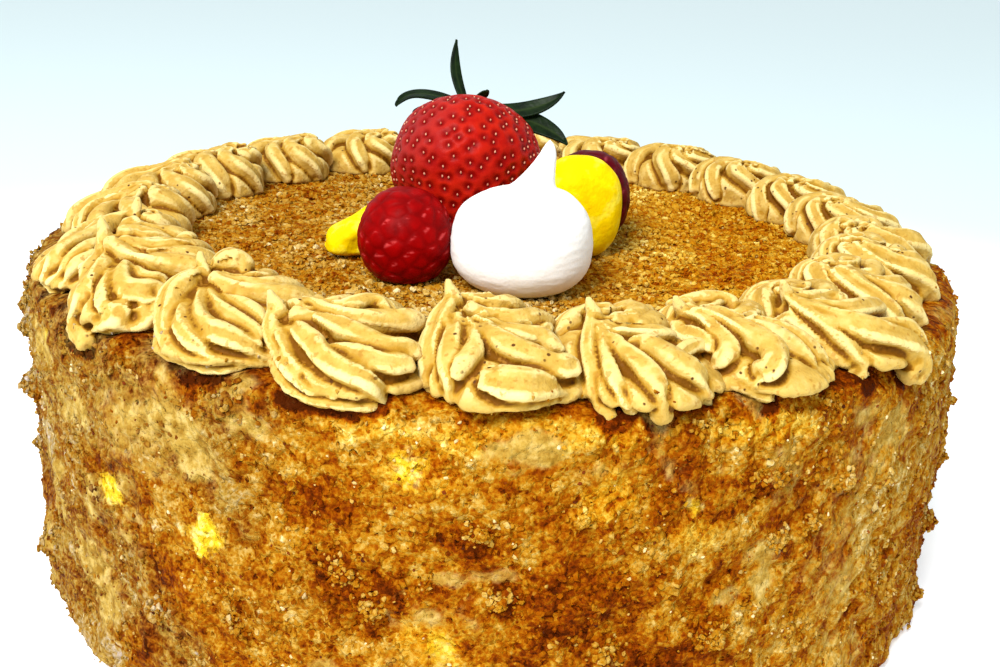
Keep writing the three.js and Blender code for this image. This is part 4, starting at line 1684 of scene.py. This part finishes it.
        # Painted shading for the cream: shade in the hollows and near the foot, highlight along the crests.
        hollow = hollows(piece, 4) / (0.16 * MM) + hollows(piece, 14) / (0.8 * MM)
        edge = (1.0 - ease(aside, 0.0, 0.42)) * ease(bumps(places, 6.0 * MM, 34), -0.7, 0.6)
        paint(piece, "groove_shading", 0.36 + 0.14 * low - 0.2 * edge + 0.30 * np.clip(hollow, -1.3, 3.0))

    def build(self, finish: CreamFinish) -> list[Piece]:
        """Pipes all the dollops.

        Args:
            finish: The cream.

        Returns:
            The pieces.
        """
        material = finish.material()
        made = []
        for index in range(self.count):
            node = f"cream_dollop_{index + 1:02d}"
            made.append(complete(self.pipe(index), material, (node,)))
        return made


@dataclass(frozen=True)
class Sepal:
    """A leaf of the calyx in mm: middle and tip from the button, width, where it faces, its tip's hook."""

    middle: Place
    tip: Place
    width: float
    facing: Place
    hook: float = 0.0

    def surface(self, along: Array, across: Array, index: int) -> Array:
        """Places on the leaf.

        Args:
            along: The share of the way from the button to the tip.
            across: The share of the width, from -0.5 to 0.5.
            index: The leaf's number, which sets how it waves.

        Returns:
            One row per place, in metres.
        """
        tip = np.array(self.tip)
        pull = 2.0 * np.array(self.middle) - 0.5 * tip
        share = along[:, None]
        line = 2.0 * share * (1.0 - share) * pull + share**2 * tip
        forward = unit(2.0 * (1.0 - 2.0 * share) * pull + 2.0 * share * tip)
        side = unit(np.cross(self.facing, forward))
        normal = np.cross(forward, side)
        broad = self.width * (0.5 + 2.3 * along) * np.clip(1.005 - along, 0.0, 1.0) ** 0.85
        ripple = 0.8 * np.abs(across) + 0.25 * np.sin(9.0 * along + 2.0 * index) * (across + 0.5)
        sideways = across * broad + self.hook * along**7
        return (line + side * sideways[:, None] + normal * (ripple * along)[:, None]) * MM


@dataclass
class Strawberry:
    """The strawberry, its seeds in dimples and its calyx, tipped back together."""

    length: float = 32.5 * MM
    width: float = 34.8 * MM
    lean: Place = (-0.01, 0.54, 0.84)
    seeds: int = 390
    dimple_width: float = 1.15 * MM
    dimple_depth: float = 0.6 * MM
    columns: int = 200
    rows: int = 150
    profile: Outline = (
        (0.0, 0.0), (0.15, 0.03), (0.36, 0.26), (0.495, 0.53), (0.43, 0.83), (0.27, 0.98), (0.12, 1.0),
        (0.0, 0.95),
    )
    sepals: tuple[Sepal, ...] = (
        Sepal((-2.9, -0.6, 7.7), (-3.2, -1.8, 15.6), 2.9, (0.6, -0.8, -0.2)),
        Sepal((-10.3, -0.4, 2.5), (-16.5, -1.8, -0.9), 4.0, (0.0, -0.8, 0.6), 0.5),
        Sepal((-8.6, 3.0, 1.0), (-12.6, 3.6, -1.0), 3.6, (0.0, -0.6, 0.8)),
        Sepal((3.2, -3.4, 1.2), (4.3, -5.5, 1.4), 2.4, (0.0, 0.0, 1.0)),
        Sepal((12.6, 0.4, -0.2), (22.3, -1.0, 3.6), 4.6, (0.0, -0.97, 0.25), 0.6),
        Sepal((14.1, 1.0, -2.6), (23.4, 0.5, -7.6), 5.6, (0.0, -1.0, 0.2), -0.9),
        Sepal((4.0, 8.0, 2.4), (6.0, 16.0, 2.0), 5.0, (0.0, 0.0, 1.0)),
        Sepal((-6.0, 7.0, 2.0), (-10.0, 13.0, 0.5), 5.0, (0.0, 0.0, 1.0)),
    )

    def tipped(self, places: Array) -> Array:
        """Turns places from the berry's own frame, calyx up, to the way it lies."""
        turn = Vector(UPWARD).rotation_difference(Vector(self.lean).normalized())
        return places @ np.array(turn.to_matrix()).T

    def shift(self, places: Array) -> Array:
        """The move that centres the tipped berry on its solid."""
        low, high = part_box("strawberry")
        return (np.array(low) + np.array(high)) / 2.0 - (places.min(0) + places.max(0)) / 2.0

    def build(self) -> None:
        """Shapes the berry, sets its seeds and adds its leaves."""
        piece, turn, rise = ball("strawberry_flesh", self.columns, self.rows)
        reach, height = (smooth_curve(self.profile, rise) * (self.width, self.length)).T
        wobble = 1.0 + 0.02 * np.sin(3.0 * turn + 0.6) + 0.012 * np.sin(5.0 * turn + 1.0)
        places = round_at(reach * wobble, turn, height)
        set_points(piece, places)
        outward = normals_of(piece)
        seeds, seed_normals = self.seed_places(places, outward)
        gaps = np.linalg.norm(places[:, None, :] - seeds[None], axis=2).min(1)
        dimple = np.exp(-((gaps / self.dimple_width) ** 2))
        shaped = self.tipped(places - outward * (self.dimple_depth * dimple)[:, None])
        move = self.shift(self.tipped(places))
        set_points(piece, shaped + move)
        # The dimples are sunk into the shape and also darkened as painted shade.
        paint(piece, "dimple", ease(dimple, 0.12, 0.75) * 0.9)
        # Painted pale sheen on the upper left shoulder.
        painted_sheen = ease(shaped @ np.array([-0.8, -0.2, 0.55]), 14.0 * MM, 27.0 * MM)
        paint(piece, "painted_sheen", painted_sheen * 0.7)
        complete(piece, StrawberryFinish().material(), ("strawberry",))
        sunk = seeds - seed_normals * self.dimple_depth * 0.55
        self.build_seeds(self.tipped(sunk) + move, self.tipped(seed_normals))
        self.build_leaves(move)

    def seed_places(self, places: Array, outward: Array) -> tuple[Array, Array]:
        """Where the seeds sit on the berry.

        Args:
            places: Places on the berry.
            outward: The way that it faces there.

        Returns:
            The seeds' places and the ways that they face.
        """
        share = (np.arange(self.seeds) + 0.5) / self.seeds
        stations, shoulder = 400, 330
        line = smooth_curve(self.profile, np.linspace(0.0, 1.0, stations)) * (self.width, self.length)
        steps = np.linalg.norm(np.diff(line, axis=0), axis=1)
        ring = np.concatenate([[0.0], np.cumsum(line[1:, 0] * steps)])
        last = np.flatnonzero(line[:shoulder, 1] < 0.975 * self.length)[-1]
        reach = np.interp(share * ring[last], ring, line[:, 0])
        height = np.interp(share * ring[last], ring, line[:, 1])
        draw = np.random.default_rng(77)
        turn = np.arange(self.seeds) * GOLDEN_TURN + draw.normal(scale=0.045, size=self.seeds)
        height = height + draw.normal(scale=0.32 * MM, size=self.seeds)
        guess = round_at(reach, turn, height)
        nearest = np.linalg.norm(places[:, None, :] - guess[None], axis=2).argmin(0)
        return places[nearest], outward[nearest]

    def build_seeds(self, places: Array, outward: Array) -> None:
        """The seeds: small pale drops, long way down the berry.

        Args:
            places: Where they sit.
            outward: The way that each one faces.
        """
        corners, faces = small_ball()
        corners[:, 1] *= 1.0 - 0.3 * corners[:, 0]
        axis = np.array(Vector(self.lean).normalized())
        along = unit(axis - outward * (outward @ axis)[:, None])
        across = np.cross(outward, along)
        turns = np.stack([along * 0.36 * MM, across * 0.21 * MM, outward * 0.22 * MM], axis=2)
        picks = np.zeros(len(places), int)
        made = joined_copies("strawberry_seeds", [corners], faces, turns, places, picks)
        shades = ((0.3, (0.36, 0.09, 0.05)), (0.6, (0.58, 0.26, 0.16)))
        finish = PlainFinish("strawberry_seed", shades, roughness=0.4, sheen=0.04)
        complete(made, finish.material())

    def build_leaves(self, move: Array) -> None:
        """The calyx: thin pointed sepals, wavy and curled.

        Args:
            move: The move that sets the berry in its place.
        """
        bpy.ops.object.select_all(action="DESELECT")
        leaves = []
        for index, sepal in enumerate(self.sepals):
            bpy.ops.mesh.primitive_grid_add(x_subdivisions=28, y_subdivisions=10, size=1.0)
            leaf = bpy.context.object
            flat = points_of(leaf)
            along, across = flat[:, 0] + 0.5, flat[:, 1]
            placed = sepal.surface(along, across, index) + np.array([0.0, 0.0, self.length + 0.4 * MM])
            set_points(leaf, self.tipped(placed) + move)
            paint(leaf, "vein", np.exp(-((across / 0.07) ** 2)))
            leaves.append(leaf)
        for leaf in leaves:
            leaf.select_set(True)
        bpy.context.view_layer.objects.active = leaves[0]
        bpy.ops.object.join()
        piece = bpy.context.object
        piece.name = piece.data.name = "strawberry_leaves"
        thick = piece.modifiers.new("thickness", "SOLIDIFY")
        thick.thickness = 0.45 * MM
        thick.offset = 0.0
        bpy.ops.object.modifier_apply(modifier=thick.name)
        complete(piece, LeafFinish().material(), ("strawberry_calyx",))


@dataclass
class Raspberry:
    """A raspberry of soft drupelets, where its solid stands."""

    node: str
    drupelets: int = 96
    seed: int = 1
    swell: float = 0.02
    barrel: float = 0.72
    foot: float = 0.86
    light: Place = (-0.5, -0.35, 0.8)
    columns: int = 170
    rows: int = 120

    def build(self, material: Material) -> None:
        """Shapes the drupelets and dresses them.

        Args:
            material: The flesh.
        """
        piece, _, _ = ball(f"{self.node}_flesh", self.columns, self.rows)
        places = points_of(piece)
        centres = spread_on_ball(self.drupelets)
        draw = np.random.default_rng(self.seed)
        centres = unit(centres + draw.normal(scale=0.06, size=centres.shape))
        apart = np.linalg.norm(places[:, None, :] - centres[None], axis=2)
        nearest = apart.argmin(1)
        gaps = np.sort(apart, axis=1)
        spacing = math.sqrt(4.0 * math.pi / self.drupelets)
        # Painted highlight: a crescent on the side of each drupelet that faces the lamp.
        lit = (places - centres[nearest]) @ np.array(self.light) / spacing
        crescent = ease(lit, 0.16, 0.3) * (1.0 - ease(lit, 0.36, 0.48))
        seam = 1.0 - ease(gaps[:, 1] - gaps[:, 0], 0.0, 0.75 * spacing)
        swell = 1.0 + self.swell * (np.sqrt(np.clip(1.0 - seam, 0.0, 1.0)) - 0.75)
        low, high = (np.array(corner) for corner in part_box(self.node))
        half = (high - low) / 2.0
        shaped = places * swell[:, None]
        girth = 1.0 - 0.10 * np.clip(places[:, 2], 0.0, None)
        girth *= np.clip(reach_of(places), 0.05, None) ** (self.barrel - 1.0)
        flat = shaped[:, :2] * girth[:, None] * half[:2] * 0.985
        tall = (np.maximum(shaped[:, 2], -self.foot) + self.foot) / (1.0 + self.foot) * 2.0 * half[2]
        middle = (high + low) / 2.0
        set_points(piece, np.column_stack([flat + middle[:2], low[2] + tall]))
        # Painted shade in the seams between the drupelets.
        paint(piece, "seam", ease(seam, 0.45, 1.0))
        paint(piece, "painted_highlight", crescent * (1.0 - ease(seam, 0.5, 0.9)))
        complete(piece, material, (self.node,))


@dataclass
class MeringueKiss:
    """The meringue kiss: a fat drop drawn up into a point that bends to one side."""

    place: tuple[float, float] = (5.0 * MM, -38.5 * MM)
    width: float = 29.0 * MM
    shoulder: float = 21.0 * MM
    tip_shift: tuple[float, float] = (4.6 * MM, 0.8 * MM)
    bend: tuple[float, float] = (0.72, 1.4)
    columns: int = 160
    rows: int = 130
    profile: Outline = (
        (0.0, 0.0), (0.6, 0.0), (0.93, 0.18), (1.0, 0.45), (0.9, 0.73), (0.62, 0.9), (0.34, 0.98),
        (0.2, 1.14), (0.085, 1.36), (0.0, 1.44),
    )

    def build(self) -> None:
        """Shapes the kiss and dresses it."""
        piece, turn, rise = ball("meringue", self.columns, self.rows)
        reach, height = smooth_curve(self.profile, rise).T
        reach = np.clip(reach, 0.0, None) * self.width / 2.0
        bend = ease(height, *self.bend)
        low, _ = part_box("meringue_kiss")
        across = reach * np.cos(turn) + self.tip_shift[0] * bend + self.place[0]
        back = reach * np.sin(turn) + self.tip_shift[1] * bend + self.place[1]
        places = np.column_stack([across, back, low.z + np.clip(height, 0.0, None) * self.shoulder])
        set_points(piece, places)
        rough = 0.10 * bumps(places, 9.0 * MM, 41) + 0.06 * bumps(places * (1.0, 1.0, 5.0), 3.0 * MM, 42)
        above = ease(height, 0.02, 0.12)
        set_points(piece, places + normals_of(piece) * (rough * MM * above)[:, None])
        shades = ((0.3, (0.86, 0.84, 0.80)), (0.7, (0.93, 0.92, 0.90)))
        finish = PlainFinish("meringue_shell", shades, grain=0.7 * MM, depth=0.12 * MM, roughness=0.75)
        complete(piece, finish.material(), ("meringue_kiss",))


@dataclass
class MangoPiece:
    """A cut piece of mango with soft edges and a flat foot, where its solid lies."""

    node: str
    softness: float
    taper: float
    turn: float
    unevenness: float = 0.3
    foot: float = 0.94
    columns: int = 96
    rows: int = 64

    def build(self, material: Material) -> None:
        """Shapes the piece and dresses it.

        Args:
            material: The flesh.
        """
        piece, _, _ = ball(f"{self.node}_flesh", self.columns, self.rows)
        places = points_of(piece)
        blocky = np.sign(places) * np.abs(places) ** self.softness
        low, high = (np.array(corner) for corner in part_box(self.node))
        ahead, aside = math.cos(self.turn), math.sin(self.turn)
        spin = np.array([[ahead, -aside], [aside, ahead]])
        turned = blocky[:, :2] * (1.0, 0.72) @ spin.T
        span = turned.max(0) - turned.min(0)
        flat = turned / span * (high - low)[:2] + (high + low)[:2] / 2.0
        rise = (np.maximum(blocky[:, 2], -self.foot) + self.foot) / (1.0 + self.foot)
        rise *= 1.0 + self.taper * blocky[:, 0]
        tall = low[2] + rise / rise.max() * (high - low)[2]
        shaped = np.column_stack([flat, tall])
        set_points(piece, shaped)
        above = ease(shaped[:, 2], low[2] + 0.3 * MM, low[2] + 2.0 * MM)
        rough = self.unevenness * bumps(shaped, 5.0 * MM, 51) * above
        set_points(piece, shaped + normals_of(piece) * (rough * MM)[:, None])
        complete(piece, material, (self.node,))


@dataclass(frozen=True)
class Studio:
    """The floor, the soft light and the camera of the photograph."""

    place: Place = (0.0, -284.75 * MM, 151.33 * MM)
    pitch: float = math.radians(19.74)
    roll: float = math.radians(2.58)
    yaw: float = math.radians(0.32)
    lens: float = 45.0
    sensor: float = 36.0
    sky: Colour = (0.86, 0.96, 1.0)
    sky_strength: float = 0.88
    key_place: Place = (-0.33, -0.72, 0.85)
    key_aim: Place = (0.0, 0.0, 0.05)
    key_power: float = 18.5
    key_size: float = 0.4
    floor_size: float = 8.0

    def build_camera(self) -> None:
        """Sets the camera where the photograph was taken."""
        forward = Vector((
            math.sin(self.yaw) * math.cos(self.pitch),
            math.cos(self.yaw) * math.cos(self.pitch),
            -math.sin(self.pitch),
        ))
        right = forward.cross(Vector(UPWARD)).normalized()
        up = right.cross(forward)
        tilted_right = math.cos(self.roll) * right + math.sin(self.roll) * up
        tilted_up = -math.sin(self.roll) * right + math.cos(self.roll) * up
        data = bpy.data.cameras.new("camera")
        data.lens = self.lens
        data.sensor_width = self.sensor
        data.clip_start = 0.01
        camera = bpy.data.objects.new("camera", data)
        facing = Matrix((tilted_right, tilted_up, -forward)).transposed().to_4x4()
        camera.matrix_world = Matrix.Translation(self.place) @ facing
        bpy.context.scene.collection.objects.link(camera)
        bpy.context.scene.camera = camera

    def build_light(self) -> None:
        """A pale sky and one large lamp at the upper left."""
        world = bpy.data.worlds.new("sky")
        world.use_nodes = True
        background = world.node_tree.nodes["Background"]
        background.inputs["Color"].default_value = (*self.sky, 1.0)
        background.inputs["Strength"].default_value = self.sky_strength
        bpy.context.scene.world = world
        lamp = bpy.data.lights.new("key", "AREA")
        lamp.energy = self.key_power
        lamp.size = self.key_size
        key = bpy.data.objects.new("key", lamp)
        key.location = self.key_place
        aim = Vector(self.key_aim) - Vector(self.key_place)
        key.rotation_mode = "QUATERNION"
        key.rotation_quaternion = aim.to_track_quat("-Z", "Y")
        bpy.context.scene.collection.objects.link(key)
        bpy.context.scene.view_settings.view_transform = "Standard"

    def build_floor(self) -> None:
        """A plain pale floor, bluer far from the cake."""
        bpy.ops.object.select_all(action="DESELECT")
        bpy.ops.mesh.primitive_plane_add(size=self.floor_size)
        floor = bpy.context.object
        floor.name = "floor"
        recipe = Recipe("pale_floor")
        away = recipe.add("VectorMath", {0: recipe.place}, operation="LENGTH")
        far = recipe.step(away.outputs["Value"], 0.22, 0.42)
        recipe.set(Base_Color=recipe.mix(far, (0.92, 0.92, 0.92), (0.52, 0.63, 0.64)), Roughness=0.6,
                   Emission_Color=(1.0, 1.0, 1.0), Emission_Strength=0.27)
        floor.data.materials.append(recipe.material)

    def build(self) -> None:
        """Sets up everything that is not the cake."""
        self.build_camera()
        self.build_light()
        self.build_floor()


def main() -> None:
    """Builds the cake piece by piece."""
    logging.basicConfig(level=logging.INFO, format="%(message)s")
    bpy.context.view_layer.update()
    Studio().build()
    border = PipedBorder().build(CreamFinish())
    Strawberry().build()
    Raspberry("raspberry_front", seed=3).build(RaspberryFinish().material())
    dark = RaspberryFinish(
        name="dark_raspberry_flesh",
        flesh=((0.3, (0.06, 0.0003, 0.003)), (0.7, (0.11, 0.0006, 0.005))),
        seam=(0.025, 0.0002, 0.001),
        painted_highlight=(0.22, 0.03, 0.04),
    )
    Raspberry("raspberry_back", seed=8).build(dark.material())
    MeringueKiss().build()
    mango = PlainFinish(
        name="mango_flesh",
        shades=((0.3, (0.74, 0.45, 0.0005)), (0.55, (0.84, 0.60, 0.001)), (0.72, (0.92, 0.78, 0.06))),
        cloud=4.0 * MM,
        grain=1.2 * MM,
        depth=0.35 * MM,
        roughness=0.6,
        sheen=0.02,
    ).material()
    MangoPiece("mango_right", 0.8, -0.05, 0.35).build(mango)
    MangoPiece("mango_left", 0.58, 0.5, 0.4, 0.8).build(mango)
    coat = CrumbCoat()
    paste = CoatFinish().material()
    coat.meet(border)
    coat.build(paste)
    crumbs = LooseCrumbs(coat, paste)
    crumbs.build_wall()
    crumbs.build_clumps()
    crumbs.build_disc()
    crumbs.build_heaps()
    crumbs.build_on_cream(border)


if __name__ == "__main__":
    main()
